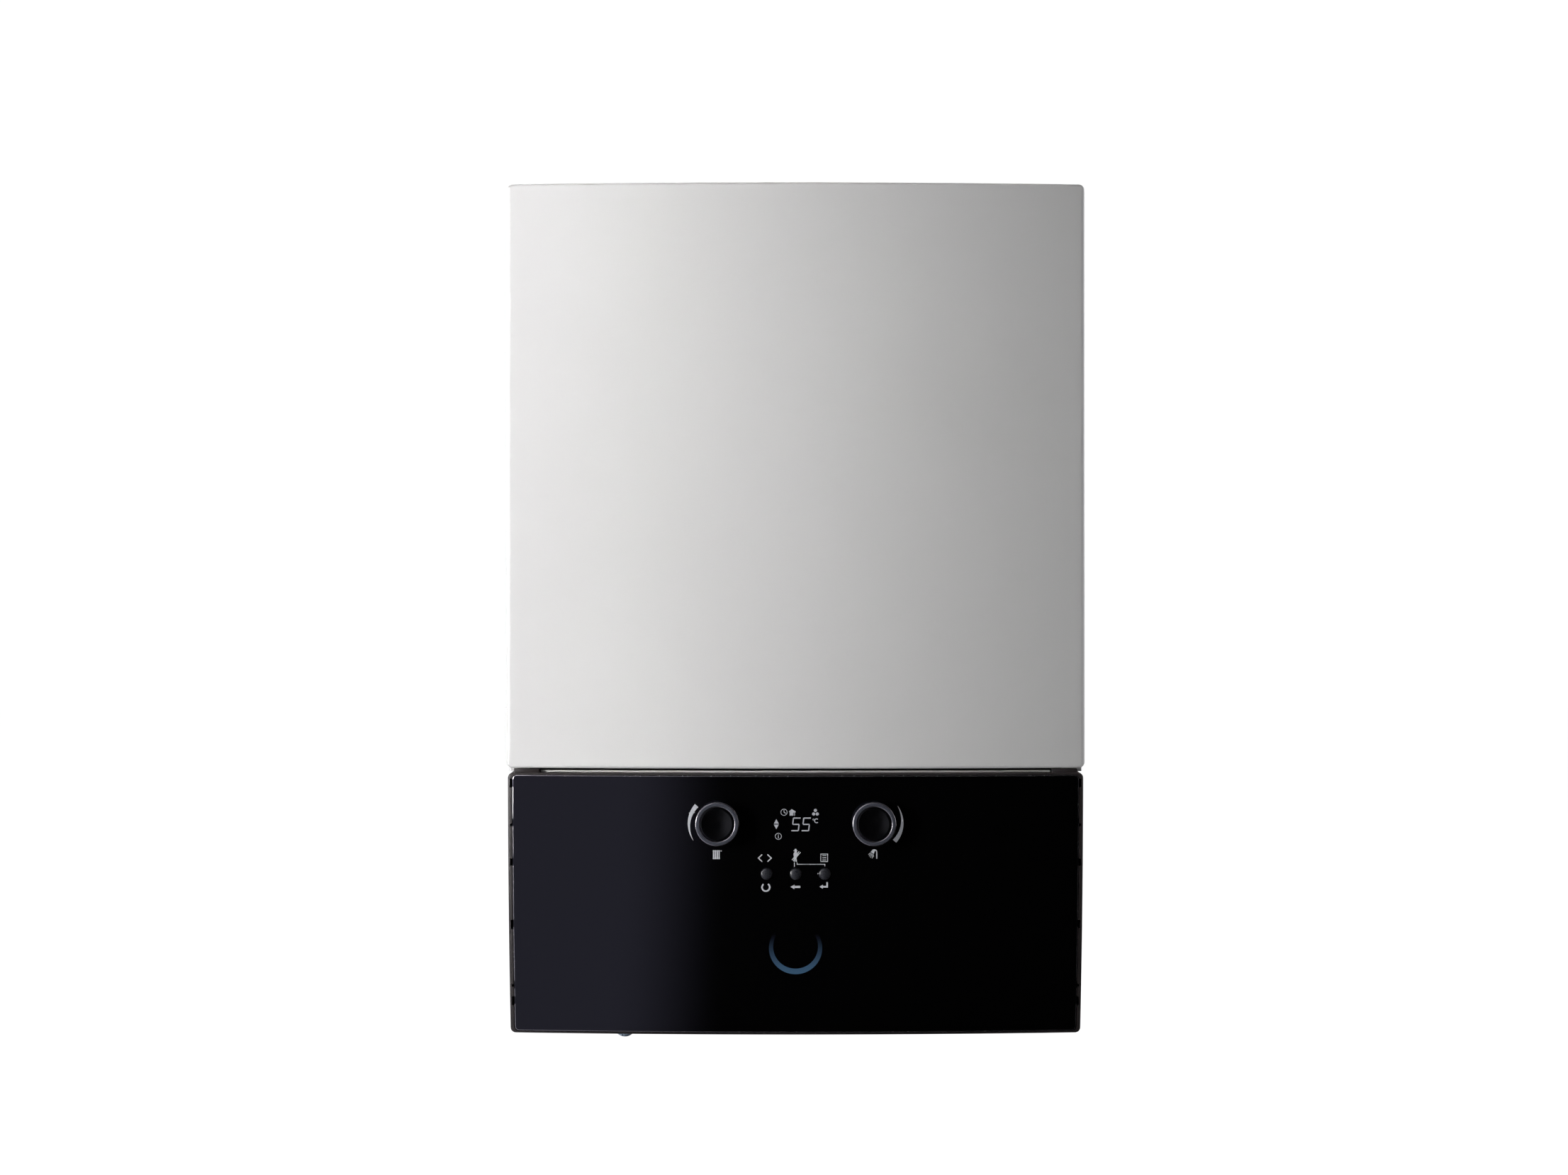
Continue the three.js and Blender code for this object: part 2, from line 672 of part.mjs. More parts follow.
function burnerDoor() {
  const axis = [0, 0, exchangerZ];
  const disc = rod('y', doorFront, doorBack, axis, EXCHANGER_R + 3, 32);
  const boss = rod('y', bossFront, doorFront + 1, axis, ELBOW_R + 6, 20);
  const nuts = [45, 135, 225, 315].map((degrees) => {
    const angle = THREE.MathUtils.degToRad(degrees);
    const reach = EXCHANGER_R - 5;
    const place = [reach * Math.cos(angle), 0, exchangerZ + reach * Math.sin(angle)];
    return rod('y', doorFront - 4, doorFront + 1, place, 5, 6);
  });
  const bore = rod('y', bossFront - 1, doorBack + 1, axis, ELBOW_R, 14);
  const plugHole = rod('y', doorFront - 1, doorBack + 1, [0, 0, exchangerZ - electrodeDrop], 4 + FIT, 12);
  return cut(join(disc, boss, ...nuts), bore, plugHole);
}

function burnerTube() {
  const axis = [0, 0, exchangerZ];
  const mouth = doorBack + FIT;
  const end = exchangerBack - 26;
  return cut(
    join(rod('y', mouth, end, axis, BURNER_R, 24), rod('y', mouth, mouth + 2, axis, BURNER_R + 7, 24)),
    rod('y', mouth - 1, end - 1.5, axis, BURNER_R - 1.5, 24),
  );
}

function ignitionElectrode() {
  const place = [0, 0, exchangerZ - electrodeDrop];
  return join(
    rod('y', doorFront - 16, doorBack + 6, place, 4, 12),
    rod('y', doorBack + 5, doorBack + 34, place, 1.3, 8),
  );
}

const elbowTurn = ELBOW_R + 2;
const elbowY = bossFront - FIT - elbowTurn;
const outletX = fanX - FAN_R + 2;

function mixtureElbow() {
  return pipe([
    [0, bossFront - FIT, exchangerZ], [0, elbowY, exchangerZ], [outletX - FIT, elbowY, exchangerZ],
  ], ELBOW_R, elbowTurn, 14);
}

put(casing, 'heat_exchanger_housing', castMetal, exchangerHousing());
put(casing, 'heat_exchanger_coil', steel, exchangerCoil());
put(casing, 'burner', steel, burnerTube());
put(casing, 'burner_door', castMetal, burnerDoor());
put(casing, 'ignition_electrode', ceramic, ignitionElectrode());
put(casing, 'mixture_elbow', castMetal, mixtureElbow());

// ---------- fan, air mixer and gas valve ----------

const fanY = -FAN_DEPTH;
const fanBottom = exchangerZ - FAN_THICKNESS / 2;
const fanTop = exchangerZ + FAN_THICKNESS / 2;
const fanInletR = 18;
const fanShaftR = 3.5;
const mixerHeight = 60;
const mixerTop = fanBottom - FIT;

function fanHousing() {
  const axis = [fanX, fanY, 0];
  const half = FAN_OUTLET / 2;
  const volute = rod('z', fanBottom, fanTop, axis, FAN_R, 28);
  const outlet = block(
    outletX, fanX, elbowY - half, elbowY + half, exchangerZ - half, exchangerZ + half,
  );
  const cavity = rod('z', fanBottom + FAN_WALL, fanTop - FAN_WALL, axis, FAN_R - FAN_WALL, 28);
  const inlet = rod('z', fanBottom - 1, fanBottom + FAN_WALL + 1, axis, fanInletR, 20);
  const shaftHole = rod('z', fanTop - FAN_WALL - 1, fanTop + 1, axis, fanShaftR + 1, 16);
  const throat = rod('x', outletX - 1, fanX - 10, [0, elbowY, exchangerZ], ELBOW_R, 14);
  return cut(join(volute, outlet), cavity, inlet, shaftHole, throat);
}

function bladedWheel(axis, centre, from, to, discFrom, discTo, radius, hubR, blades) {
  const disc = rod(axis, discFrom, discTo, centre, radius, 24);
  const hub = rod(axis, from, to, centre, hubR, 12);
  const wheels = [];
  for (let i = 0; i < blades; i += 1) {
    const blade = new THREE.BoxGeometry(radius - hubR + 1, 1.6, Math.abs(to - from));
    blade.translate((radius + hubR) / 2 - 1, 0, 0);
    blade.rotateZ((i / blades) * Math.PI * 2);
    if (axis === 'y') blade.rotateX(Math.PI / 2);
    const place = [...centre];
    place['xyz'.indexOf(axis)] = (from + to) / 2;
    blade.translate(...place);
    wheels.push(toSolid(blade));
  }
  return join(disc, hub, ...wheels);
}

function fanImpeller() {
  const axis = [fanX, fanY, 0];
  const wheel = bladedWheel(
    'z', axis, fanBottom + FAN_WALL + 2, fanTop - FAN_WALL - 4,
    fanTop - FAN_WALL - 4, fanTop - FAN_WALL - 2, FAN_R - FAN_WALL - 5, 8, FAN_BLADES,
  );
  return join(wheel, rod('z', fanTop - FAN_WALL - 6, fanTop + 8, axis, fanShaftR, 14));
}

function fanMotor() {
  const seat = fanTop + FIT;
  const can = turned('z', [
    [0, 0], [FAN_MOTOR_R, 0], [FAN_MOTOR_R, 28], [FAN_MOTOR_R - 4, 34], [12, 36], [0, 36],
  ], [fanX, fanY, seat], 24);
  return cut(can, rod('z', seat - 1, seat + 11, [fanX, fanY, 0], fanShaftR + RUN, 14));
}

function airMixer() {
  const profile = [
    [0, 0], [22, 0], [22, 12], [19, 18], [19, mixerHeight - 12], [23, mixerHeight - 6],
    [23, mixerHeight], [0, mixerHeight],
  ];
  const body = turned('z', profile, [fanX, fanY, mixerTop - mixerHeight], 20);
  const bore = turned('z', [
    [0, -1], [17, -1], [12, 20], [12, 36], [16, mixerHeight + 1], [0, mixerHeight + 1],
  ], [fanX, fanY, mixerTop - mixerHeight], 20);
  return cut(body, bore);
}

const valveFront = fanY + 30;
const valveBack = valveFront + GAS_VALVE_DEPTH;
const valveTop = mixerTop - mixerHeight + 34;
const valveBottom = valveTop - GAS_VALVE_HEIGHT;
const valveInletY = -125;

function gasValve() {
  const half = GAS_VALVE_WIDTH / 2;
  const body = block(fanX - half, fanX + half, valveFront, valveBack, valveBottom, valveTop);
  const coilCap = rod('z', valveTop - 1, valveTop + 14, [fanX + 8, valveFront + 24, 0], 14, 20);
  const nozzle = rod('y', fanY + 19.4, valveFront + 1, [fanX, 0, valveTop - 9], 8, 16);
  const inlet = rod('z', valveBottom - 13, valveBottom + 1, [fanX, valveInletY, 0], 11, 16);
  return join(body, coilCap, nozzle, inlet);
}

function gasPipe() {
  const back = -60;
  const passZ = vesselBottom - GAS_PIPE_R - 9.5;
  const connection = connectionStub(LARGE_PIPE_R).translate(0, pipeY, bottom - CONNECTION_DROP);
  const run = pipe([
    [0, pipeY, stubTopZ - 1], [0, pipeY, bottom + 36], [0, back, bottom + 60],
    [0, back, passZ - 15], [fanX, back, passZ], [fanX, valveInletY, passZ + 38],
    [fanX, valveInletY, valveBottom - 13 - FIT],
  ], GAS_PIPE_R, 20);
  return join(connection, run);
}

put(casing, 'fan_housing', castMetal, fanHousing());
put(casing, 'fan_impeller', greyPlastic, fanImpeller());
put(casing, 'fan_motor', darkPlastic, fanMotor());
put(casing, 'air_mixer', greyPlastic, airMixer());
put(casing, 'gas_valve', castMetal, gasValve());

// ---------- water side ----------

const flowX = -2 * CONNECTION_PITCH;
const hotX = -CONNECTION_PITCH;
const coldX = CONNECTION_PITCH;
const returnX = 2 * CONNECTION_PITCH;

function connectionStub(radius) {
  const length = stubTopZ - bottom + CONNECTION_DROP;
  const tube = rod('z', 0, length, [0, 0, 0], radius, 18);
  const nut = rod('z', length - 9, length, [0, 0, 0], radius + 4, 6);
  const bore = rod('z', -1, length - 6, [0, 0, 0], radius - PIPE_WALL, 18);
  return cut(join(tube, nut), bore);
}

for (const [name, x, radius] of [
  ['heating_flow_stub', flowX, LARGE_PIPE_R], ['hot_water_stub', hotX, SMALL_PIPE_R],
  ['cold_water_stub', coldX, SMALL_PIPE_R], ['heating_return_stub', returnX, LARGE_PIPE_R],
]) {
  put(casing, name, brass, connectionStub(radius), [x, pipeY, bottom - CONNECTION_DROP]);
}

const blockFoot = stubTopZ + FIT;
const blockBack = pipeY + 20;
const blockFront = pipeY - 19.4;
const platesBottom = bottom + PLATES_RISE;
const platesTop = platesBottom + PLATES_HEIGHT;
const blockHead = platesTop + 10;
const valveRiserTop = blockHead + 25;

function flowBlock() {
  const body = block(hotX - 15, hotX + 15, blockFront, blockBack, platesBottom - 10, blockHead);
  const bridge = block(flowX - 14, hotX, pipeY - 14, pipeY + 14, pumpZ - 20, pumpZ + 20);
  const riser = rod('z', pumpZ - 1, valveRiserTop, [flowX, pipeY, 0], RISER_R, 20);
  const flowLeg = rod('z', blockFoot, pumpZ, [flowX, pipeY, 0], LARGE_PIPE_R, 20);
  const hotLeg = rod('z', blockFoot, platesBottom, [hotX, pipeY, 0], SMALL_PIPE_R, 20);
  return join(body, bridge, riser, flowLeg, hotLeg);
}

function returnBlock() {
  const body = block(coldX - 15, coldX + 15, blockFront, blockBack, platesBottom - 10, blockHead);
  const coldLeg = rod('z', blockFoot, platesBottom, [coldX, pipeY, 0], SMALL_PIPE_R, 20);
  const link = rod('x', coldX + 14, returnX - PUMP_R - FIT, [0, pipeY, pumpZ], 9, 16);
  return join(body, coldLeg, link);
}

function plateExchanger() {
  const half = PLATES_WIDTH / 2;
  const back = blockFront - FIT;
  const body = block(-half, half, back - PLATES_DEPTH, back, platesBottom, platesTop);
  const grooves = [];
  for (let i = 1; i < 6; i += 1) {
    const y = back - (PLATES_DEPTH * i) / 6;
    const inner = block(
      -half + 1.5, half - 1.5, y - 1.5, y + 1.5, platesBottom + 1.5, platesTop - 1.5,
    );
    grooves.push(cut(block(-half - 1, half + 1, y - 1.5, y + 1.5, platesBottom - 1, platesTop + 1), inner));
  }
  return cut(body, ...grooves);
}

const pumpBack = pipeY + 20;
const pumpFront = pipeY - 20;
const pumpShaftR = 4;

function pumpBody() {
  const axis = [returnX, 0, pumpZ];
  const volute = rod('y', pumpFront, pumpBack, axis, PUMP_R, 24);
  const inlet = rod('z', blockFoot, pumpZ - PUMP_R + 5, [returnX, pipeY, 0], LARGE_PIPE_R, 16);
  const outlet = rod('z', pumpZ, pumpZ + 50, [returnX - 22, pipeY, 0], 12, 16);
  const ventBoss = rod('z', pumpZ, pumpZ + 40, [returnX + 22, pipeY, 0], 12, 16);
  const cavity = rod('y', pumpFront + 4, pumpBack - 4, axis, PUMP_R - 5, 24);
  const mouth = rod('y', pumpFront - 1, pumpFront + 5, axis, 20, 20);
  return cut(join(volute, inlet, outlet, ventBoss), cavity, mouth);
}

function pumpMotor() {
  const back = pumpFront - FIT;
  const can = turned('y', [
    [0, -PUMP_MOTOR_LENGTH], [PUMP_MOTOR_R - 6, -PUMP_MOTOR_LENGTH], [PUMP_MOTOR_R, -PUMP_MOTOR_LENGTH + 6],
    [PUMP_MOTOR_R, 0], [0, 0],
  ], [returnX, back, pumpZ], 28);
  return cut(can, rod('y', back - 12, back + 1, [returnX, 0, pumpZ], pumpShaftR + RUN, 14));
}

function pumpImpeller() {
  const axis = [returnX, 0, pumpZ];
  const wheel = bladedWheel(
    'y', axis, pipeY - 10, pipeY + 12, pipeY + 9, pipeY + 12, PUMP_R - 9, 8, PUMP_BLADES,
  );
  return join(wheel, rod('y', pumpFront - 10, pipeY, axis, pumpShaftR, 14));
}

function autoAirVent() {
  const seat = pumpZ + 40 + FIT;
  return turned('z', [
    [0, 0], [11, 0], [11, 34], [7, 38], [7, 48], [0, 48],
  ], [returnX + 22, pipeY, seat], 20);
}

const flowPipe = pipe([
  [-EXCHANGER_PORT_X, pipeY, portFoot - FIT], [-EXCHANGER_PORT_X, pipeY, portFoot - 60],
  [hotX, pipeY, portFoot - 110], [hotX, pipeY, blockHead + FIT],
], 9, 22);
const returnPipe = pipe([
  [returnX - 22, pipeY, pumpZ + 50 + FIT], [returnX - 22, pipeY, pumpZ + 118],
  [EXCHANGER_PORT_X, pipeY, pumpZ + 145], [EXCHANGER_PORT_X, pipeY, portFoot - FIT],
], 9, 22);
const condensatePipe = pipe([
  [-siphonX, -SIPHON_DEPTH, trayTop + 2 * FIT + SIPHON_HEIGHT], [-siphonX, -SIPHON_DEPTH, portFoot - 70],
  [-siphonX + 30, drainY + 50, portFoot - 28], [0, drainY, portFoot - 24],
  [0, drainY, portFoot - 5 - FIT],
], 7, 20);

function diverterMotor() {
  const seat = valveRiserTop + FIT;
  return join(
    block(flowX - 22, flowX + 22, pipeY - 22, pipeY + 22, seat, seat + 38),
    rod('z', seat + 37, seat + 46, [flowX, pipeY, 0], 9, 16),
  );
}

const safetyBack = pipeY - RISER_R - FIT;
const safetyFront = safetyBack - 28;

function safetyValve() {
  const axis = [flowX, 0, pumpZ];
  const body = rod('y', safetyFront, safetyBack, axis, 12, 18);
  const outlet = rod('z', pumpZ - 32, pumpZ, [flowX, safetyFront + 14, 0], 7, 14);
  const spindle = rod('y', safetyFront - 5, safetyFront + 1, axis, 3, 12);
  return join(body, outlet, spindle);
}

function safetyKnob() {
  const knob = turned('y', [
    [0, -16], [10, -16], [13, -13], [13, 0], [0, 0],
  ], [flowX, safetyFront - FIT, pumpZ], 16);
  return cut(knob, rod('y', safetyFront - 6, safetyFront + 1, [flowX, 0, pumpZ], 3 + RUN, 12));
}

function pressureSensor() {
  const seat = blockHead + FIT;
  return join(
    rod('z', seat, seat + 10, [coldX, pipeY, 0], 11, 6),
    rod('z', seat + 9, seat + 32, [coldX, pipeY, 0], 8.5, 18),
  );
}

const fillingTop = bottom + 55;
const fillingFoot = trayTop + 8;

function fillingValve() {
  const axis = [-FILLING_X, -FILLING_DEPTH, 0];
  const body = rod('z', fillingFoot, fillingTop, axis, 8, 18);
  const arm = rod(
    'y', -FILLING_DEPTH, pipeY - LARGE_PIPE_R - SLIDE_GAP, [-FILLING_X - 4, 0, fillingTop - 12], 6, 14,
  );
  const spindle = rod('z', fillingFoot - 5, fillingFoot + 1, axis, 3, 12);
  return join(body, arm, spindle);
}

function fillingKnob() {
  const length = fillingFoot - FIT - (bottom - FILLING_DROP);
  const knob = turned('z', [
    [0, 0], [3.2, 0.6], [6, 2.6], [8, 6], [FILLING_KNOB_R, 10], [FILLING_KNOB_R, length], [0, length],
  ], [-FILLING_X, -FILLING_DEPTH, bottom - FILLING_DROP], 20);
  return cut(knob, rod(
    'z', fillingFoot - 6, fillingFoot + 1, [-FILLING_X, -FILLING_DEPTH, 0], 3 + RUN, 12,
  ));
}

put(casing, 'gas_pipe', copper, gasPipe());
put(casing, 'flow_pipe', copper, flowPipe);
put(casing, 'return_pipe', copper, returnPipe);
put(casing, 'condensate_pipe', greyPlastic, condensatePipe);
put(casing, 'flow_block', brass, flowBlock());
put(casing, 'return_block', brass, returnBlock());
put(casing, 'plate_heat_exchanger', steel, plateExchanger());
put(casing, 'pump_body', castMetal, pumpBody());
put(casing, 'pump_motor', darkPlastic, pumpMotor());
put(casing, 'pump_impeller', greyPlastic, pumpImpeller());
put(casing, 'auto_air_vent', brass, autoAirVent());
put(casing, 'diverter_motor', darkPlastic, diverterMotor());
put(casing, 'safety_valve', brass, safetyValve());
put(casing, 'safety_valve_knob', redPaint, safetyKnob());
put(casing, 'pressure_sensor', brass, pressureSensor());
put(casing, 'filling_valve', brass, fillingValve());
put(casing, 'filling_knob', bluePlastic, fillingKnob());

// ---------- control panel ----------

const knobZ = panelTop - KNOB_DROP;
const buttonZ = panelTop - BUTTON_DROP;
const lightZ = panelTop - LIGHT_DROP;
const displayZ = panelTop - DISPLAY_DROP;
const boxOuterX = innerHalf - 7.1;
const boxInnerX = boxOuterX - FRAME_WALL;
const boxTop = panelTop - 4;
const boxBottom = bottom + 9;
const boardFront = -boardDepth - BOARD_SHEET;
const riserFront = boardFront - BOARD_RISER;

function panelFrame() {
  const lipX = frameHalf - FRAME_STRIP + FIT;
  const outer = curvedSlab(-frameHalf, frameHalf, bottom, panelTop, behindPanel(0), flat(-frameRear));
  const pocket = curvedSlab(
    -lipX, lipX, bottom + FRAME_SILL - FIT, panelTop - FRAME_SILL + FIT,
    behindPanel(-2), behindPanel(FASCIA + FIT),
  );
  const box = block(-boxOuterX, boxOuterX, -frameRear - 1, -panelRear, boxBottom, boxTop);
  const lugs = [-1, 1].map((side) => block(
    side * boxInnerX, side * boxOuterX, hingeY - HINGE_EYE_R, hingeY + HINGE_EYE_R,
    hingeZ - HINGE_EYE_R, boxBottom + 1,
  ));
  const inside = block(
    -boxInnerX, boxInnerX, -EDGE_DEPTH - FRONT_BULGE, -panelRear + 1,
    boxBottom + FRAME_WALL, boxTop - FRAME_WALL,
  );
  const holes = [-1, 1].map((side) => rod(
    'x', side * (boxInnerX - 1), side * (boxOuterX + 1), [0, hingeY, hingeZ], HINGE_PIN_R + RUN, 16,
  ));
  const tabs = [-1, 1].map((side) => block(
    side * (sideOuter - 21.5), side * (sideOuter - 3.5), -sideFront - 5.5, -sideFront - 1,
    panelTop - 1, panelTop + 2.7,
  ));
  return join(cut(join(outer, box, ...lugs), pocket, inside, ...holes), ...tabs);
}

function panelFascia() {
  const half = frameHalf - FRAME_STRIP;
  const low = bottom + FRAME_SILL;
  const high = panelTop - FRAME_SILL;
  const sheet = curvedSlab(-half, half, low, high, behindPanel(0), behindPanel(FASCIA));
  const through = [-EDGE_DEPTH - FRONT_BULGE - 5, -boardDepth];
  const shaftHoles = [-1, 1].map((side) => rod(
    'y', ...through, [side * KNOB_X, 0, knobZ], KNOB_SHAFT_R + 1, 16,
  ));
  const buttonHoles = [-1, 0, 1].map((step) => rod(
    'y', ...through, [step * BUTTON_PITCH, 0, buttonZ], BUTTON_R + RUN, 16,
  ));
  return cut(sheet, ...shaftHoles, ...buttonHoles);
}

function lcdDisplay() {
  const half = DISPLAY_WIDTH / 2;
  const front = panelY(half, displayZ - DISPLAY_HEIGHT / 2) + FASCIA + FIT;
  return block(
    -half, half, front, riserFront - FIT, displayZ - DISPLAY_HEIGHT / 2, displayZ + DISPLAY_HEIGHT / 2,
  );
}

function statusLightGuide() {
  const length = [-EDGE_DEPTH - FRONT_BULGE, boardFront - FIT];
  const disc = rod('y', ...length, [0, 0, lightZ], LIGHT_R, 32);
  const bore = rod('y', length[0] - 1, length[1] + 1, [0, 0, lightZ + LIGHT_BORE_RISE], LIGHT_BORE_R, 32);
  const gapFoot = lightZ + LIGHT_R * Math.sin(THREE.MathUtils.degToRad(32));
  const opening = block(
    -LIGHT_R - 1, LIGHT_R + 1, length[0] - 1, length[1] + 1, gapFoot, lightZ + LIGHT_R + 2,
  );
  const behind = curvedSlab(
    -LIGHT_R - 2, LIGHT_R + 2, lightZ - LIGHT_R - 2, lightZ + LIGHT_R + 2,
    behindPanel(FASCIA + FIT), flat(length[1] + 1), 2, 5,
  );
  return cut(disc, bore, opening).intersect(behind);
}

const encoderFront = panelY(KNOB_X, knobZ) + FASCIA + 1.6;

function controlBoard() {
  const half = boxInnerX - BOARD_MARGIN;
  const low = bottom + 32;
  const high = panelTop - 16;
  const sheet = block(-half, half, boardFront, -boardDepth, low, high);
  const riser = block(-40, 40, riserFront, boardFront + 0.5, buttonZ - 8, displayZ + 17);
  const encoders = [-1, 1].map((side) => join(
    block(
      side * (KNOB_X - 8), side * (KNOB_X + 8), boardFront - 18, boardFront + 0.5, knobZ - 8, knobZ + 8,
    ),
    rod('y', encoderFront, boardFront - 17, [side * KNOB_X, 0, knobZ], 5, 16),
  ));
  const bores = [-1, 1].map((side) => rod(
    'y', encoderFront - 1, encoderFront + 12, [side * KNOB_X, 0, knobZ], KNOB_SHAFT_R + RUN, 16,
  ));
  const posts = [[-1, low + 8], [1, low + 8], [-1, high - 8], [1, high - 8]].map(([side, z]) => rod(
    'y', -boardDepth - 0.5, -panelRear - 2.4, [side * (half - 10), 0, z], 4, 12,
  ));
  const parts = [
    block(-half + 20, -half + 60, -boardDepth - 0.5, -boardDepth + 20, low + 20, low + 54),
    block(-90, -66, -boardDepth - 0.5, -boardDepth + 14, low + 24, low + 44),
    block(70, 100, -boardDepth - 0.5, -boardDepth + 16, low + 18, low + 36),
    block(-60, 60, -boardDepth - 0.5, -boardDepth + 9, low + 4, low + 14),
  ];
  return cut(join(sheet, riser, ...encoders, ...posts, ...parts), ...bores);
}

function controlBoxCover() {
  const half = boxInnerX - FIT;
  return block(
    -half, half, -panelRear - 2, -panelRear - 0.4, boxBottom + FRAME_WALL + FIT, boxTop - FRAME_WALL - FIT,
  );
}

put(panel, 'panel_frame', darkPlastic, panelFrame());
put(panel, 'panel_fascia', glossBlack, panelFascia());
put(panel, 'lcd_display', displayGlass, lcdDisplay());
put(panel, 'status_light_guide', lightGuide, statusLightGuide());
put(panel, 'control_board', circuitBoard, controlBoard());
put(panel, 'control_box_cover', darkPlastic, controlBoxCover());

// ---------- knobs and buttons, each built on its own axis with the user on the -Y side ----------

function knobRing() {
  const cup = turned('y', [
    [0, -KNOB_LENGTH], [KNOB_R - 0.8, -KNOB_LENGTH], [KNOB_R - 0.2, -KNOB_LENGTH + 0.8], [KNOB_R, 0], [0, 0],
  ], [0, 0, 0], 28);
  const well = rod('y', -KNOB_LENGTH - 1, -KNOB_WEB, [0, 0, 0], KNOB_DISC_R + FIT, 28);
  return cut(cup, well, rod('y', -KNOB_WEB - 1, 1, [0, 0, 0], KNOB_SHAFT_R + FIT, 16));
}

function knobDisc(shaftEnd) {
  const seat = -KNOB_WEB - FIT;
  const face = -KNOB_LENGTH + KNOB_RECESS;
  const disc = turned('y', [
    [0, face + 2], [6, face + 1.6], [10, face + 0.6], [KNOB_DISC_R, face], [KNOB_DISC_R, seat], [0, seat],
  ], [0, 0, 0], 28);
  return join(disc, rod('y', seat - 0.5, shaftEnd, [0, 0, 0], KNOB_SHAFT_R, 16));
}

const knobSlope = Math.hypot(
  2 * FRONT_BULGE * KNOB_X / halfWidth ** 2, 2 * PANEL_SWEEP * KNOB_DROP / PANEL_HEIGHT ** 2,
);
const knobSeat = panelY(KNOB_X, knobZ) - knobSlope * KNOB_R - FIT;
const shaftLength = encoderFront + 11 - knobSeat;
for (const [name, side] of [['heating_knob', -1], ['hot_water_knob', 1]]) {
  put(panel, name, glossBlack, knobDisc(shaftLength), [side * KNOB_X, knobSeat, knobZ]);
  put(panel, `${name}_ring`, satinGrey, knobRing(), [side * KNOB_X, knobSeat, knobZ]);
}

function pushButton() {
  const surface = panelY(0, buttonZ);
  const collarR = BUTTON_R + 1.5;
  const slope = 2 * PANEL_SWEEP * BUTTON_DROP / PANEL_HEIGHT ** 2;
  const collarFront = surface + FASCIA + slope * collarR + 0.45;
  const rear = riserFront - BUTTON_TRAVEL - FIT;
  return turned('y', [
    [0, surface - 1.7], [2, surface - 1.5], [3.4, surface - 0.95], [BUTTON_R, surface - 0.3],
    [BUTTON_R, collarFront], [collarR, collarFront], [collarR, collarFront + 1.4], [2.5, collarFront + 1.4],
    [2.5, rear], [0, rear],
  ], [0, 0, buttonZ], 16);
}

['back_button', 'menu_button', 'enter_button'].forEach((name, i) => {
  put(panel, name, satinGrey, pushButton(), [(i - 1) * BUTTON_PITCH, 0, 0]);
});

export default boiler;
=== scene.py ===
"""Wall-hung combi boiler: camera, studio light, finishes and finely modelled pieces, in metres."""
import math

import bpy
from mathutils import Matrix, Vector


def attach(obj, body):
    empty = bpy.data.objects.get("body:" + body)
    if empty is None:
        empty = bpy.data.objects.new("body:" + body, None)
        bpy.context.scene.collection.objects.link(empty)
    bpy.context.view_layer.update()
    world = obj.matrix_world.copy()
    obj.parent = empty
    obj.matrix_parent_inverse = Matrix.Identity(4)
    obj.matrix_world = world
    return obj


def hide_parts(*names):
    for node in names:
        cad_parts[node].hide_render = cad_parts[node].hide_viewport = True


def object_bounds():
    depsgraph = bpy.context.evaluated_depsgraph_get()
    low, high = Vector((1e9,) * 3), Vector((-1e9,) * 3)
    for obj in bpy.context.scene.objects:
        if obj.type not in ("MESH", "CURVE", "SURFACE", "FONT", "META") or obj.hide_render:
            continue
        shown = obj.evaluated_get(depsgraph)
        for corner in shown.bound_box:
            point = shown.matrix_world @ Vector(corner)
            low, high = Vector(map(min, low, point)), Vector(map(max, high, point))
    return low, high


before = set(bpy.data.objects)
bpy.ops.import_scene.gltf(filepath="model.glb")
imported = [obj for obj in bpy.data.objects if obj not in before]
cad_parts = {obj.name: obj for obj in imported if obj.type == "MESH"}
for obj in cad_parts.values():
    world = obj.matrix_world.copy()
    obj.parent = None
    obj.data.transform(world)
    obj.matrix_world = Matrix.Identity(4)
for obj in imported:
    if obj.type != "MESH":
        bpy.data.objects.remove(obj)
cad_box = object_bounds()
bpy.ops.object.select_all(action="DESELECT")


# ---------- sizes shared by the pieces ----------

HALF_WIDTH = 0.200
TOP = 0.295
BOTTOM = -0.295
EDGE_DEPTH = 0.243
BULGE = 0.013
PANEL_TOP = -0.112
PANEL_HEIGHT = 0.183
PANEL_SWEEP = 0.0259
COVER_BOTTOM = -0.1088
SHEET = 0.0012
CASE_FRONT = -0.236
SIDE_OUTER = 0.1984
LID_TOP = 0.2934
KNOB_X = 0.054
KNOB_Z = PANEL_TOP - 0.0345
BUTTON_Z = PANEL_TOP - 0.0694
KEY_PITCH = 0.020
LIGHT_Z = PANEL_TOP - 0.1213
PIPE_Y = -0.105
PRINT = 0.00012
STUD_X, STUD_Z = 0.172, -0.087
HINGE_Y, HINGE_Z = -0.199, -0.290
FLUE_Y = -0.115
DRAIN_Y = -0.1404
BURNER_Z = 0.150
THROAT_Y = -0.2136
PUMP_Z = -0.185
RISER_X = -0.130
FAN = (0.140, -0.180, 0)
TAP = (-0.122, -0.150, 0)
TRAP = (-0.170, -0.060, 0)
VESSEL_VALVE = (-0.098, 0, 0.040)
ELECTRODE = (0, 0, 0.098)
SIDES = (("left", -1), ("right", 1))
# how squarely an edge or a face's normal lies along an axis to be picked by it
ALONG = 0.9
# each pipe end with its grommet's name, its X and its radius
PIPE_ENDS = (
    ("heating_flow", "flow", -0.130, 0.013), ("hot_water", "hot", -0.065, 0.011), ("gas", "gas", 0, 0.013),
    ("cold_water", "cold", 0.065, 0.011), ("heating_return", "return", 0.130, 0.013),
)


def bow(x):
    """How far the front bows out at x, as a move along Y."""
    return -BULGE * (1 - (x / HALF_WIDTH) ** 2)


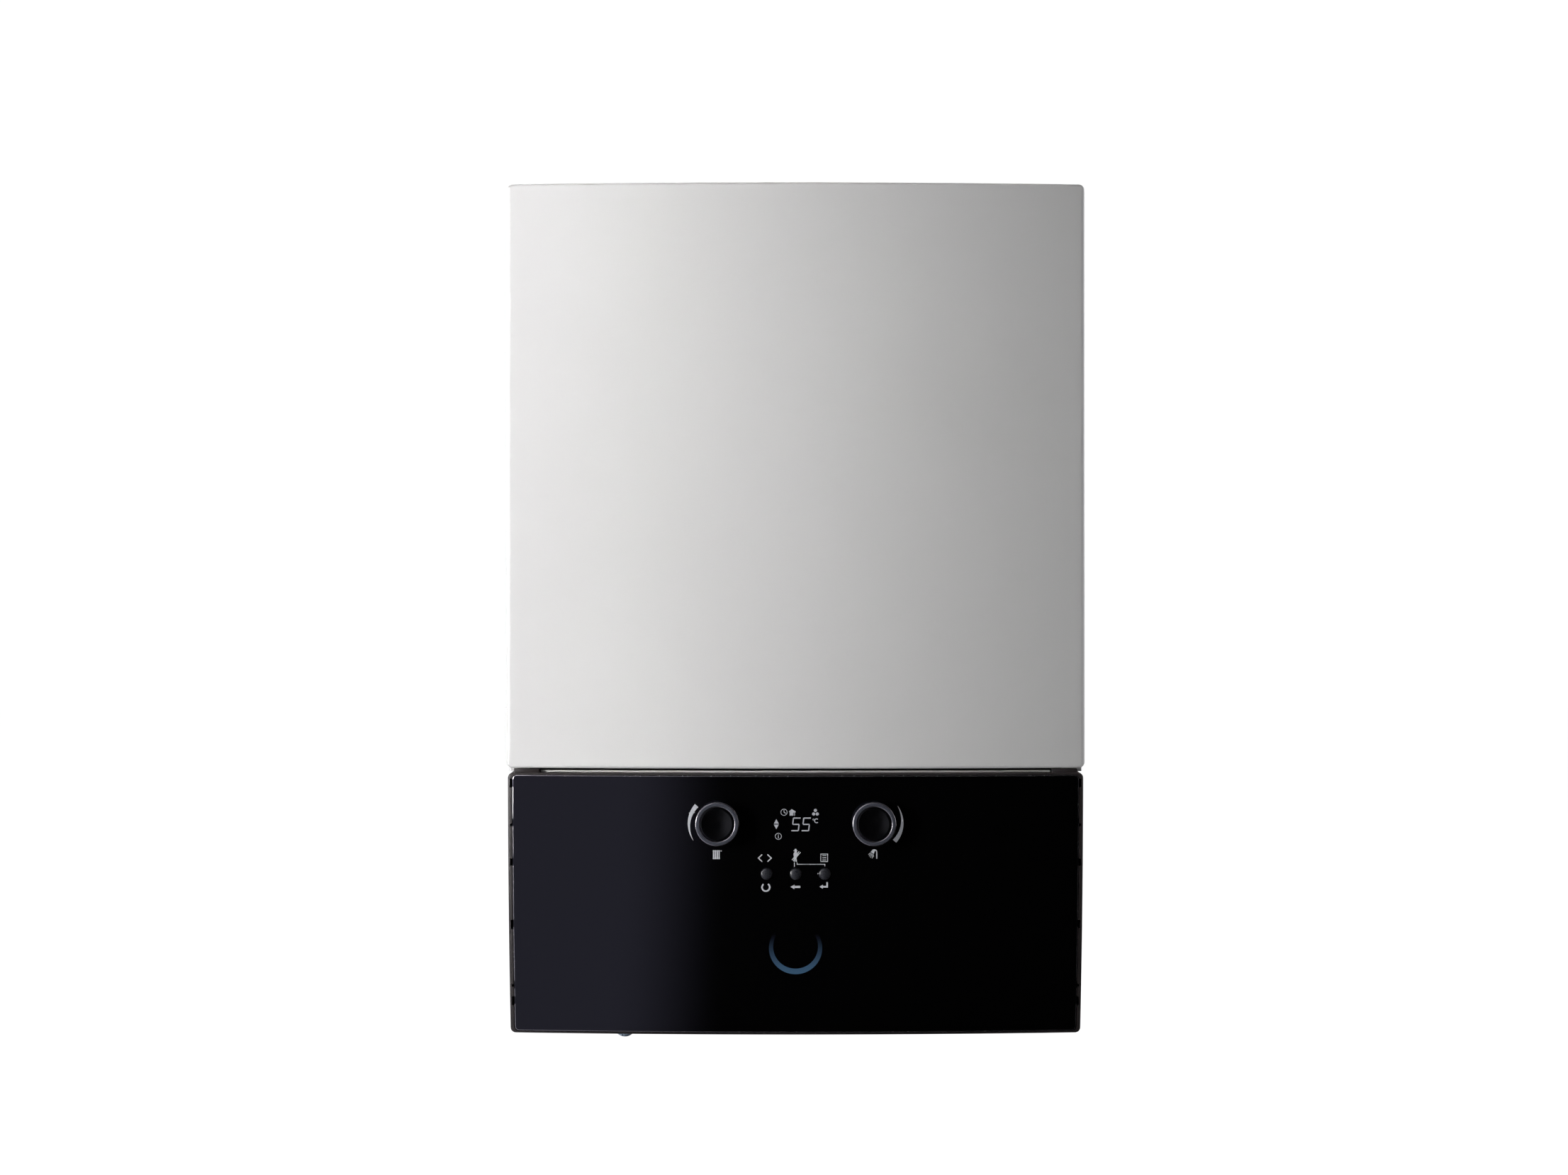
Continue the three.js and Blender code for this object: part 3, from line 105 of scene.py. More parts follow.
def sweep(z):
    """How far the control panel falls back towards its foot, as a move along Y."""
    return PANEL_SWEEP * ((PANEL_TOP - z) / PANEL_HEIGHT) ** 2


def front_y(x):
    """Depth of the bowed cover at x."""
    return bow(x) - EDGE_DEPTH


def panel_y(x, z):
    """Depth of the control panel's face."""
    return front_y(x) + sweep(z)


# ---------- node trees ----------

class Graph:
    """A node tree, with short words for adding to it."""

    def __init__(self, tree):
        self.tree = tree

    def add(self, kind, *sources, **values):
        """Adds a node, feeds its first sockets from the sources, and sets others: to_min is To Min."""
        node = self.tree.nodes.new("ShaderNode" + kind)
        for socket, source in zip(node.inputs, sources):
            if source:
                self.tree.links.new(source, socket)
        fill_sockets(node, values)
        return node

    def out(self, kind, *sources, **values):
        """Adds a node and gives its first output."""
        return self.add(kind, *sources, **values).outputs[0]


def fill_sockets(node, values):
    """Sets a node's sockets. Each word of a name gets its capital, and IOR keeps its own."""
    for name, value in values.items():
        socket = " ".join(word if word.isupper() else word.capitalize() for word in name.split("_"))
        node.inputs[socket].default_value = value


# ---------- camera and studio ----------

def set_camera():
    lens = bpy.data.cameras.new("camera")
    lens.sensor_width = 36.0
    lens.lens = 83.0
    lens.clip_start, lens.clip_end = 0.05, 60
    camera = bpy.data.objects.new("camera", lens)
    bpy.context.scene.collection.objects.link(camera)
    camera.location = (-0.008, -2.743, 0.016)
    camera.rotation_euler = (math.pi / 2, 0, 0)
    bpy.context.scene.camera = camera


def softbox(name, azimuth, elevation, distance, size, radiance, aim=(0, -0.25, 0.05), beam=180, tint=(1, 1, 1)):
    """A rectangular lamp, not seen itself. Azimuth 0 is in front of the boiler, and 90 on its right."""
    turn, lift = math.radians(azimuth), math.radians(elevation)
    way = Vector((math.sin(turn) * math.cos(lift), -math.cos(turn) * math.cos(lift), math.sin(lift)))
    lamp = bpy.data.lights.new(name, "AREA")
    lamp.shape = "RECTANGLE"
    lamp.size, lamp.size_y = size
    lamp.spread = math.radians(beam)
    lamp.energy = radiance * math.pi * size[0] * size[1]
    lamp.color = tint
    box = bpy.data.objects.new(name, lamp)
    bpy.context.scene.collection.objects.link(box)
    box.location = Vector(aim) + way * distance
    box.rotation_euler = way.to_track_quat("Z", "Y").to_euler()
    box.visible_camera = False


def set_world():
    """White behind the boiler. Its reflections see one pale wall on the left of a dark studio."""
    world = bpy.data.worlds.new("studio")
    bpy.context.scene.world = world
    world.use_nodes = True
    graph = Graph(world.node_tree)
    graph.tree.nodes.clear()
    split = graph.add("SeparateXYZ", graph.add("TexCoord").outputs["Generated"])
    side = graph.add("MapRange", split.outputs["X"], from_min=-0.075, from_max=-0.20, to_min=0.001, to_max=0.50)
    side.interpolation_type = "SMOOTHSTEP"
    rays = graph.add("LightPath").outputs
    dim = graph.out("Background", None, side.outputs["Result"], color=(0.86, 0.87, 1.0, 1))
    soft = graph.out("Background", color=(1, 0.99, 0.97, 1), strength=0.03)
    white = graph.out("Background", color=(1, 1, 1, 1), strength=1.02)
    shiny = graph.out("MixShader", rays["Is Glossy Ray"], soft, dim)
    graph.add("OutputWorld", graph.out("MixShader", rays["Is Camera Ray"], shiny, white))


def lay_floor():
    """A plain pale floor just under the pipe ends. It stays out of the gloss, and is clear from below."""
    bpy.ops.mesh.primitive_plane_add(size=14, location=(0, 0, cad_box[0][2] - 0.0006))
    floor = bpy.context.object
    floor.name = "floor"
    mat = bpy.data.materials.new("pale_floor")
    mat.use_nodes = True
    graph = Graph(mat.node_tree)
    graph.tree.nodes.clear()
    rays = graph.add("LightPath").outputs
    tone = graph.out("MapRange", graph.out("TexNoise", scale=3), to_min=0.70, to_max=0.76)
    matt = graph.out("BsdfDiffuse", tone)
    shade = graph.out("BsdfDiffuse", color=(0.16, 0.16, 0.16, 1))
    glow = graph.out("Emission", color=(1, 1, 1, 1), strength=1.0)
    seen = graph.out("MixShader", rays["Is Camera Ray"], matt, graph.out("AddShader", shade, glow))
    below = graph.add("NewGeometry").outputs["Backfacing"]
    lets_through = graph.add("Math", rays["Is Glossy Ray"], below)
    lets_through.operation = "MAXIMUM"
    clear = graph.out("BsdfTransparent")
    graph.add("OutputMaterial", graph.out("MixShader", lets_through.outputs[0], seen, clear))
    floor.data.materials.append(mat)


def set_studio():
    scene = bpy.context.scene
    scene.view_settings.view_transform = "Standard"
    scene.view_settings.look = "None"
    scene.view_settings.exposure = 0
    set_world()
    lay_floor()
    left = (-0.13, -0.25, 0.08)
    softbox("key", -52, 4, 1.2, (0.25, 0.9), 1.54, aim=left, beam=30, tint=(1, 0.992, 0.975))
    softbox("key_upper", -60, 30, 1.2, (0.4, 0.3), 0.16, aim=(-0.12, -0.25, 0.30), beam=30)
    softbox("left_wall", -78, 12, 2.2, (0.9, 1.5), 1.5)
    softbox("front_left", -34, 34, 1.5, (0.7, 0.7), 1.37)
    softbox("right_rim", 96, 10, 1.8, (0.5, 1.5), 4.2, tint=(0.97, 0.98, 1))
    softbox("back_left", -146, 22, 2.6, (2.4, 2.0), 1.8)
    softbox("back_right", 146, 22, 2.6, (2.4, 2.0), 1.8)


# ---------- finishes ----------

class Finish(Graph):
    """One finish on its own node tree, with short words for the textures it is made of.

    tint is a noise's scale and detail, the edge where its colours begin, and the colours of its
    valleys and hills. gloss is a noise's scale and detail, with the least and most roughness. grain
    is a noise's scale and detail, with the depth and strength of its relief. The other values go to
    the shader's own sockets.
    """

    def __init__(self, name, colour, roughness, metal=0.0, tint=None, gloss=None, grain=None, **values):
        self.material = bpy.data.materials.new(name)
        self.material.use_nodes = True
        super().__init__(self.material.node_tree)
        self.shader = self.tree.nodes["Principled BSDF"]
        fill_sockets(self.shader, dict(values, base_color=(*colour, 1), roughness=roughness, metallic=metal))
        self.place = self.add("TexCoord").outputs["Object"]
        self.relief = None
        if tint:
            scale, detail, edge, valley, hill = tint
            self.drive("Base Color", self.tones(self.noise(scale, detail), (edge, valley), (1 - edge, hill)))
        if gloss:
            scale, detail, least, most = gloss
            self.drive("Roughness", self.span(self.noise(scale, detail), least, most))
        if grain:
            scale, detail, depth, strength = grain
            self.emboss(self.noise(scale, detail), depth, strength)

    def stretched(self, scale):
        """The object's own coordinates, drawn out along an axis for brushed or rolled marks."""
        return self.out("Mapping", self.place, scale=scale)

    def noise(self, per_metre, detail=2.0, spread=0.5, place=None):
        return self.out("TexNoise", place or self.place, scale=per_metre, detail=detail, roughness=spread)

    def cells(self, per_metre, out="Distance"):
        return self.add("TexVoronoi", self.place, scale=per_metre).outputs[out]

    def span(self, value, low, high, start=0.3, end=0.7):
        """Turns a texture's value into a number from low to high."""
        return self.out("MapRange", value, from_min=start, from_max=end, to_min=low, to_max=high)

    def tones(self, value, *stops):
        """Turns a texture's value into a colour, by stops of (position, colour)."""
        node = self.add("ValToRGB", value)
        ramp = node.color_ramp
        while len(ramp.elements) < len(stops):
            ramp.elements.new(0.5)
        for element, (position, colour) in zip(ramp.elements, stops):
            element.position = position
            element.color = (*colour, 1)
        return node.outputs["Color"]

    def drive(self, socket, value):
        self.tree.links.new(value, self.shader.inputs[socket])

    def emboss(self, height, depth, strength=1.0):
        """Adds a relief to the surface, over any that it already has."""
        node = self.add("Bump", strength=strength, distance=depth)
        self.tree.links.new(height, node.inputs["Height"])
        if self.relief:
            self.tree.links.new(self.relief, node.inputs["Normal"])
        self.relief = node.outputs["Normal"]
        self.drive("Normal", self.relief)


def white_powder_coat():
    paint = Finish(
        "white_powder_coat", (0.80, 0.79, 0.795), 0.34,
        tint=(9, 3, 0.35, (0.79, 0.78, 0.785), (0.81, 0.80, 0.805)), gloss=(240, 3, 0.31, 0.38),
        grain=(620, 1.5, 0.00002, 0.5), coat_weight=0.25, coat_roughness=0.22,
    )
    paint.emboss(paint.noise(22, 1), 0.0002, 0.12)
    return paint.material


def gloss_black():
    return Finish(
        "gloss_black", (0.0012, 0.0012, 0.0014), 0.05,
        gloss=(60, 4, 0.035, 0.068), grain=(16, 1, 0.0001, 0.12),
        IOR=1.49, specular_tint=(0.81, 0.79, 1.0, 1),
    ).material


def dark_moulding():
    plastic = Finish(
        "dark_moulding", (0.030, 0.024, 0.024), 0.42,
        tint=(30, 3, 0.3, (0.026, 0.021, 0.021), (0.035, 0.028, 0.027)), gloss=(400, 2, 0.36, 0.50),
    )
    plastic.emboss(plastic.cells(2600), 0.00003, 0.35)
    return plastic.material


def grey_print_painted_glow():
    # printed grey ink that also glows faintly: a painted light that keeps the print evenly bright however it is
    # lit
    return Finish(
        "grey_print_painted_glow", (0.44, 0.45, 0.48), 0.35, tint=(900, 2, 0.35, (0.40, 0.41, 0.44), (0.50, 0.51, 0.54)),
        grain=(3000, 1, 0.00001, 0.2), emission_color=(0.9, 0.92, 1.0, 1), emission_strength=0.10,
    ).material


def lit_digits():
    glow = Finish("lit_digits", (0.05, 0.05, 0.055), 0.3, emission_strength=0.85)
    glow.drive("Emission Color", glow.tones(
        glow.noise(700, 1), (0.35, (0.30, 0.31, 0.34)), (0.65, (0.40, 0.41, 0.44)),
    ))
    return glow.material


def status_glow():
    """The blue light behind the panel: brightest at the foot of the crescent and fading to its tips."""
    light = Finish("status_glow", (0.002, 0.002, 0.003), 0.08, emission_strength=1.0)
    split = light.add("SeparateXYZ", light.place, 0)
    height = light.span(split.outputs["Z"], 0.0, 1.0, LIGHT_Z - 0.018, LIGHT_Z + 0.012)
    light.drive("Emission Color", light.tones(
        height, (0.0, (0.033, 0.074, 0.127)), (0.17, (0.030, 0.065, 0.114)), (0.33, (0.024, 0.047, 0.080)),
        (0.52, (0.0144, 0.0273, 0.048)), (0.71, (0.0065, 0.0116, 0.020)), (0.80, (0.003, 0.0044, 0.0086)),
        (0.90, (0.001, 0.001, 0.002)),
    ))
    return light.material


def galvanised():
    """Zinc-coated steel with its faint spangle."""
    zinc = Finish("galvanised_steel", (0.60, 0.61, 0.62), 0.42, 0.6, grain=(900, 2, 0.00002, 0.4))
    spangle = zinc.cells(150, "Color")
    zinc.drive("Base Color", zinc.tones(spangle, (0.1, (0.55, 0.56, 0.57)), (0.9, (0.64, 0.65, 0.66))))
    zinc.drive("Roughness", zinc.span(spangle, 0.38, 0.47, 0, 1))
    return zinc.material


def bright_steel():
    steel = Finish("bright_steel", (0.56, 0.57, 0.58), 0.26, 1.0)
    brushed = steel.noise(300, 3, place=steel.stretched((1, 1, 0.06)))
    steel.drive("Roughness", steel.span(brushed, 0.18, 0.36))
    steel.emboss(brushed, 0.00001, 0.4)
    return steel.material


def rough_metal(name, colour, roughness, metal, tint, gloss, relief):
    """Cast or forged metal. relief is a noise's scale with the depth and strength of its coarse skin."""
    scale, depth, strength = relief
    metal = Finish(name, colour, roughness, metal, tint=tint, gloss=gloss)
    metal.emboss(metal.noise(scale, 3, 0.6), depth, strength)
    return metal.material


def moulded(name, colour, roughness, grain=1800, depth=0.00003):
    """Plain moulded plastic or rubber with a fine spark-eroded grain."""
    plastic = Finish(
        name, colour, roughness, tint=(40, 3, 0.3, tuple(part * 0.88 for part in colour), colour),
        gloss=(600, 2, roughness - 0.06, roughness + 0.07),
    )
    plastic.emboss(plastic.cells(grain), depth, 0.35)
    return plastic.material


def grey_foam():
    foam = Finish("grey_foam", (0.075, 0.078, 0.080), 0.95, specular_IOR_level=0.15)
    pores_and_pit_shade = foam.cells(1100)
    # the pits of the pores are painted darker by the same pattern that sinks them in the bump: painted shade in
    # the pits
    foam.drive("Base Color", foam.tones(pores_and_pit_shade, (0.1, (0.035, 0.037, 0.038)), (0.6, (0.105, 0.108, 0.110))))
    foam.emboss(pores_and_pit_shade, 0.0004, 0.8)
    foam.emboss(foam.noise(60, 2), 0.0006, 0.4)
    return foam.material


def circuit_green():
    board = Finish("circuit_green", (0.012, 0.090, 0.032), 0.38, gloss=(200, 2, 0.34, 0.42))
    tracks = board.noise(110, 1, place=board.stretched((1, 1, 0.15)))
    board.drive("Base Color", board.tones(
        tracks, (0.46, (0.010, 0.078, 0.028)), (0.50, (0.018, 0.115, 0.042)), (0.54, (0.010, 0.078, 0.028)),
    ))
    board.emboss(tracks, 0.00003, 0.3)
    return board.material


# ---------- ways of shaping a piece ----------

def deselect():
    bpy.ops.object.select_all(action="DESELECT")


def take(piece):
    deselect()
    piece.select_set(True)
    bpy.context.view_layer.objects.active = piece


def settle():
    """Puts the selected piece's place, turn and size into its mesh."""
    bpy.ops.object.transform_apply(location=True, rotation=True, scale=True)


def named(name):
    piece = bpy.context.object
    piece.name = name
    piece.data.name = name
    return piece


def blank(name, low, high):
    """A block of stock between two corners."""
    deselect()
    middle = [(a + b) / 2 for a, b in zip(low, high)]
    bpy.ops.mesh.primitive_cube_add(size=1, location=middle)
    piece = named(name)
    piece.scale = [b - a for a, b in zip(low, high)]
    settle()
    return piece


TURNS = {"x": (0, math.pi / 2, 0), "y": (-math.pi / 2, 0, 0), "z": (0, 0, 0)}


def along(axis, value, others=(0, 0, 0)):
    """Three coordinates: the value along the axis, and the others as they are."""
    point = list(others)
    point["xyz".index(axis)] = value
    return point


def bar(name, axis, centre, radius, start, end, sides=48):
    """A round bar along an axis from start to end. centre gives its other two coordinates."""
    deselect()
    bpy.ops.mesh.primitive_cylinder_add(
        vertices=sides, radius=radius, depth=abs(end - start), location=along(axis, (start + end) / 2, centre),
        rotation=TURNS[axis],
    )
    piece = named(name)
    settle()
    return piece


def open_clear(piece, kind):
    """Opens a piece for editing with nothing selected."""
    take(piece)
    bpy.ops.object.mode_set(mode="EDIT")
    bpy.ops.mesh.select_mode(type=kind)
    bpy.ops.mesh.select_all(action="DESELECT")


def pick(piece, kind, test):
    """Selects, in edit mode, what passes the test: a face by middle and normal, else the place."""
    mesh = piece.data
    open_clear(piece, kind)
    bpy.ops.object.mode_set(mode="OBJECT")
    if kind == "FACE":
        for face in mesh.polygons:
            face.select = test(face.center, face.normal)
    elif kind == "EDGE":
        for edge in mesh.edges:
            a, b = (mesh.vertices[i].co for i in edge.vertices)
            edge.select = test((a + b) / 2, (b - a).normalized())
    else:
        for vertex in mesh.vertices:
            vertex.select = test(vertex.co)
    bpy.ops.object.mode_set(mode="EDIT")


def done():
    bpy.ops.object.mode_set(mode="OBJECT")


def slice_at(piece, axis, places):
    """Cuts rows or columns of faces across an axis."""
    take(piece)
    bpy.ops.object.mode_set(mode="EDIT")
    for place in places:
        bpy.ops.mesh.select_all(action="SELECT")
        bpy.ops.mesh.bisect(plane_co=along(axis, place), plane_no=along(axis, 1))
    done()


def spread(start, end, count):
    return [start + (end - start) * i / count for i in range(1, count)]


def pick_sharp(piece, test, angle=50):
    """Selects the creased edges that pass the test."""
    open_clear(piece, "EDGE")
    bpy.ops.mesh.edges_select_sharp(sharpness=math.radians(angle))
    done()
    mesh = piece.data
    for edge in mesh.edges:
        a, b = (mesh.vertices[i].co for i in edge.vertices)
        edge.select = edge.select and test((a + b) / 2)
    bpy.ops.object.mode_set(mode="EDIT")


def bevel(width, steps=3):
    bpy.ops.mesh.bevel(offset=width, segments=steps, affect="EDGES")
    done()


def round_corners(piece, width, steps=4, test=lambda spot: True, axis="y"):
    """Rounds the edges that run along an axis and pass the test."""
    lie = "xyz".index(axis)
    pick(piece, "EDGE", lambda spot, way: abs(way[lie]) > ALONG and test(spot))
    bevel(width, steps)


def shift_levels(piece, axis, amount, test=lambda spot: True):
    """Moves each level of vertices across an axis along Y, by the amount for that level."""
    index = "xyz".index(axis)
    chosen = {v.index: v.co[index] for v in piece.data.vertices if test(v.co)}
    levels = []
    for place in sorted(chosen.values()):
        if not levels or place - levels[-1] > 4e-5:
            levels.append(place)
    for level in levels:
        pick(piece, "VERT", lambda spot: False)
        done()
        for number, place in chosen.items():
            piece.data.vertices[number].select = -1e-6 <= place - level <= 4e-5
        bpy.ops.object.mode_set(mode="EDIT")
        bpy.ops.transform.translate(value=(0, amount(level), 0))
        done()


def millimetres(*points):
    """Points of an outline or a profile, given in millimetres."""
    return [(a / 1000, b / 1000) for a, b in points]


def modify(piece, kind, **settings):
    """Adds a modifier and applies it."""
    take(piece)
    bpy.ops.object.modifier_add(type=kind)
    modifier = piece.modifiers[-1]
    for name, value in settings.items():
        setattr(modifier, name, value)
    bpy.ops.object.modifier_apply(modifier=modifier.name)


def round_edges(piece, width, steps=3, angle=40):
    modify(
        piece, "BEVEL", width=width, segments=steps, limit_method="ANGLE",
        angle_limit=math.radians(angle), harden_normals=False,
    )


def combine(piece, operation, *tools):
    for tool in tools:
        modify(piece, "BOOLEAN", operation=operation, solver="EXACT", object=tool)
        bpy.data.objects.remove(tool, do_unlink=True)


def carve(piece, *tools):
    """Cuts the tools' shapes out of the piece."""
    combine(piece, "DIFFERENCE", *tools)


def bore(piece, axis, centre, radius, start, end, sides=48):
    """Cuts a round hole along an axis."""
    carve(piece, bar("bore", axis, centre, radius, start, end, sides))


def join_solid(piece, *others):
    """Makes one solid of the piece and others that reach into it."""
    combine(piece, "UNION", *others)


def placed(piece, turn=(0, 0, 0), move=(0, 0, 0)):
    """Turns a piece about the origin, in degrees, and then moves it."""
    take(piece)
    piece.rotation_euler = [math.radians(angle) for angle in turn]
    piece.location = move
    settle()
    return piece


def eased(name, low, high, width=0.0015, steps=3):
    """A block with rounded edges."""
    block = blank(name, low, high)
    round_edges(block, width, steps)
    return block


def mirrored(piece, name):
    """A copy of the piece on the other side of the middle plane."""
    take(piece)
    bpy.ops.object.duplicate()
    twin = named(name)
    bpy.ops.transform.mirror(
        orient_type="GLOBAL", constraint_axis=(True, False, False), center_override=(0, 0, 0),
    )
    settle()
    outward(twin)
    return twin


def copied(piece, name, move):
    """A copy of the piece, moved, with its own mesh."""
    take(piece)
    bpy.ops.object.duplicate()
    twin = named(name)
    bpy.ops.transform.translate(value=move)
    settle()
    return twin


def weld(piece, *others):
    """Makes pieces one object, without merging their skins."""
    deselect()
    for other in others:
        other.select_set(True)
    piece.select_set(True)
    bpy.context.view_layer.objects.active = piece
    bpy.ops.object.join()
    return piece


def smooth(piece, angle=35):
    take(piece)
    bpy.ops.object.shade_smooth_by_angle(angle=math.radians(angle))


def outward(piece):
    take(piece)
    bpy.ops.object.mode_set(mode="EDIT")
    bpy.ops.mesh.select_all(action="SELECT")
    bpy.ops.mesh.remove_doubles(threshold=1e-6)
    bpy.ops.mesh.normals_make_consistent(inside=False)
    done()


def widen(axis, ratio, centre):
    """Scales what is selected across an axis."""
    bpy.ops.transform.resize(value=along(axis, 1, [ratio] * 3), center_override=centre)


def turned(name, axis, centre, profile, sides=64):
    """A turned piece: a disc drawn out along the axis through each (radius, place) of its profile."""
    deselect()
    radius, place = profile[0]
    bpy.ops.mesh.primitive_circle_add(
        vertices=sides, radius=radius, fill_type="NGON",
        location=along(axis, place, centre), rotation=TURNS[axis],
    )
    piece = named(name)
    settle()
    bpy.ops.object.mode_set(mode="EDIT")
    bpy.ops.mesh.select_mode(type="FACE")
    bpy.ops.mesh.select_all(action="SELECT")
    for next_radius, next_place in profile[1:]:
        bpy.ops.mesh.extrude_region_move(TRANSFORM_OT_translate={"value": along(axis, next_place - place)})
        widen(axis, next_radius / radius, along(axis, next_place, centre))
        radius, place = next_radius, next_place
    bpy.ops.mesh.select_all(action="SELECT")
    bpy.ops.mesh.normals_make_consistent(inside=False)
    done()
    return piece


def from_curve(name, lines, closed, turn=(0, 0, 0), **settings):
    """The mesh of a curve that runs through each line of points."""
    deselect()
    curve = bpy.data.curves.new(name, "CURVE")
    for setting, value in settings.items():
        setattr(curve, setting, value)
    for line in lines:
        spline = curve.splines.new("POLY")
        spline.points.add(len(line) - 1)
        for point, spot in zip(spline.points, line):
            point.co = (*spot, 1)
        spline.use_cyclic_u = closed
    piece = bpy.data.objects.new(name, curve)
    bpy.context.scene.collection.objects.link(piece)
    piece.rotation_euler = turn
    take(piece)
    bpy.ops.object.convert(target="MESH")
    piece = named(name)
    settle()
    outward(piece)
    return piece


def flat_shape(name, *outlines, thickness=PRINT):
    """A thin shape facing the room, from closed outlines of (x, z). An outline inside another is a hole."""
    lines = [[(x, z, 0) for x, z in outline] for outline in outlines]
    return from_curve(
        name, lines, True, (math.pi / 2, 0, 0), dimensions="2D", fill_mode="BOTH", extrude=thickness / 2,
    )


def drawn(name, axis, section, start, end):
    """A section drawn out along an axis. It is given as (y, z), (x, z) or (x, y) for X, Y or Z."""
    if axis == "z":
        section = [(a, -b) for a, b in section]
    piece = flat_shape(name, section, thickness=abs(end - start))
    piece.rotation_euler = {"x": (0, 0, math.pi / 2), "y": (0, 0, 0), "z": (math.pi / 2, 0, 0)}[axis]
    piece.location = along(axis, (start + end) / 2)
    settle()
    return piece


def tube(name, route, radius, bend=0.02, sides=24):
    """A bent tube through the points of its route, with rounded corners."""
    corners = [Vector(point) for point in route]
    path = [corners[0]]
    for before, corner, after in zip(corners, corners[1:], corners[2:]):
        back, ahead = (before - corner), (after - corner)
        reach = min(bend, back.length / 2.1, ahead.length / 2.1)
        start, end = corner + back.normalized() * reach, corner + ahead.normalized() * reach
        for i in range(9):
            t = i / 8
            path.append(start * (1 - t) ** 2 + corner * (2 * t * (1 - t)) + end * t ** 2)
    path.append(corners[-1])
    return swept(name, path, radius, sides)


def swept(name, path, radius, sides=24):
    return from_curve(
        name, [path], False, dimensions="3D", bevel_depth=radius, bevel_resolution=max(1, sides // 4 - 1),
        use_fill_caps=True,
    )


def finished(piece, material, *nodes, body="casing", angle=35):
    """Gives a piece its finish and says which body it rides on and which CAD nodes it stands for."""
    piece.data.materials.clear()
    piece.data.materials.append(material)
    smooth(piece, angle)
    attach(piece, body)
    if nodes:
        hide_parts(*nodes)
    return piece


def trimmed(piece, material, test):
    """Gives the faces that pass the test a finish of their own."""
    piece.data.materials.append(material)
    pick(piece, "FACE", test)
    piece.active_material_index = len(piece.data.materials) - 1
    bpy.ops.object.material_slot_assign()
    done()


def dress(node, material):
    """Gives a CAD node a new finish."""
    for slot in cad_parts[node].material_slots:
        slot.material = material


# ---------- front cover ----------

def cover_shell(white):
    """The painted sheet steel cover: bowed across its width, folded back at the sides, open behind."""
    back = -EDGE_DEPTH + 0.058
    cover = blank("cover_sheet", (-HALF_WIDTH, -EDGE_DEPTH, COVER_BOTTOM), (HALF_WIDTH, back, TOP))
    round_corners(cover, 0.004, 5, lambda spot: spot.z > 0)
    round_corners(cover, 0.004, 5, lambda spot: spot.z < COVER_BOTTOM + 0.001)
    slice_at(cover, "x", spread(-HALF_WIDTH + 0.004, HALF_WIDTH - 0.004, 48))
    slice_at(cover, "x", (-HALF_WIDTH + 0.004, HALF_WIDTH - 0.004))
    shift_levels(cover, "x", bow, lambda spot: spot.y < -EDGE_DEPTH + 0.001)
    pick_sharp(cover, lambda spot: spot.y < -EDGE_DEPTH + 0.001)
    bevel(0.0023, 4)
    lip = -EDGE_DEPTH + 0.006
    slice_at(cover, "y", (lip,))
    for test in (
        lambda spot, way: way.y > ALONG and spot.y > back - 0.001,
        lambda spot, way: spot.y > lip and spot.z < COVER_BOTTOM + 0.0005,
    ):
        pick(cover, "FACE", test)
        bpy.ops.mesh.delete(type="FACE")
        done()
    modify(cover, "SOLIDIFY", thickness=SHEET, offset=-1, use_even_offset=True, use_rim=True)
    finished(cover, white, "front_cover", body="cover", angle=30)


def cover_studs(steel):
    """Two turned pins that plug into the crossbar, each on a pressed boss."""
    seat = front_y(0.1795) + 0.0006
    pin = turned("cover_stud_right", "y", (STUD_X, 0, STUD_Z), [
        (0.0075, seat), (0.0075, seat + 0.0012), (0.0062, seat + 0.0016), (0.003, seat + 0.0017),
        (0.003, -0.2296), (0.0024, -0.2288), (0.0012, -0.2280),
    ], 32)
    for stud in (pin, mirrored(pin, "cover_stud_left")):
        finished(stud, steel, body="cover")


def cover_foam(foam):
    """The foam mat behind the cover, with a pressed border."""
    half, low, high = 0.180, -0.075, 0.280
    mat = blank("cover_foam_mat", (-half, -EDGE_DEPTH, low), (half, -EDGE_DEPTH + 0.0055, high))
    slice_at(mat, "x", spread(-half, half, 24))
    slice_at(mat, "z", spread(low, high, 24))
    shift_levels(mat, "x", lambda x: SHEET + 0.0003 + bow(x))
    pick(mat, "FACE", lambda spot, way: way.y > 0.8 and abs(spot.x) < half - 0.016
         and low + 0.016 < spot.z < high - 0.016)
    bpy.ops.mesh.inset(thickness=0.003, depth=0)
    bpy.ops.mesh.select_all(action="INVERT")
    done()
    pick(mat, "FACE", lambda spot, way: way.y > 0.8 and (
        abs(spot.x) > half - 0.0155 or spot.z < low + 0.0155 or spot.z > high - 0.0155))
    bpy.ops.transform.translate(value=(0, -0.0022, 0))
    done()
    finished(mat, foam, "cover_insulation", body="cover", angle=25)


# ---------- control panel ----------

def panel_blank(name, half, low, high, front, depth, corner, columns, rows):
    """Stock whose front and back are swept like the panel's face."""
    slab = blank(name, (-half, -EDGE_DEPTH + front, low), (half, -EDGE_DEPTH + front + depth, high))
    round_corners(slab, corner)
    slice_at(slab, "x", spread(-half + corner, half - corner, columns))
    slice_at(slab, "x", (-half + corner, half - corner))
    slice_at(slab, "z", spread(low + corner, high - corner, rows))
    slice_at(slab, "z", (low + corner, high - corner))
    return slab
# a brighter metal finish for the fascia's chamfer and the knob rings' front edges: a painted highlight for the
# reflections along those edges


def sweep_panel(slab, test=lambda spot: True):
    shift_levels(slab, "x", bow, test)
    shift_levels(slab, "z", sweep, test)


NOTCHES = (
    (-0.1193, 0.006), (-0.1482, 0.002), (-0.1742, 0.005),
    (-0.2178, 0.0064), (-0.2610, 0.002), (-0.2722, 0.0064),
)


def edge_distance(x, z, half, low, high, corner):
    """How far a point lies outside a rounded rectangle; inside, it is less than nothing."""
    over_x = abs(x) - half + corner
    over_z = abs(z - (low + high) / 2) - (high - low) / 2 + corner
    return math.hypot(max(over_x, 0), max(over_z, 0)) + min(max(over_x, over_z), 0) - corner
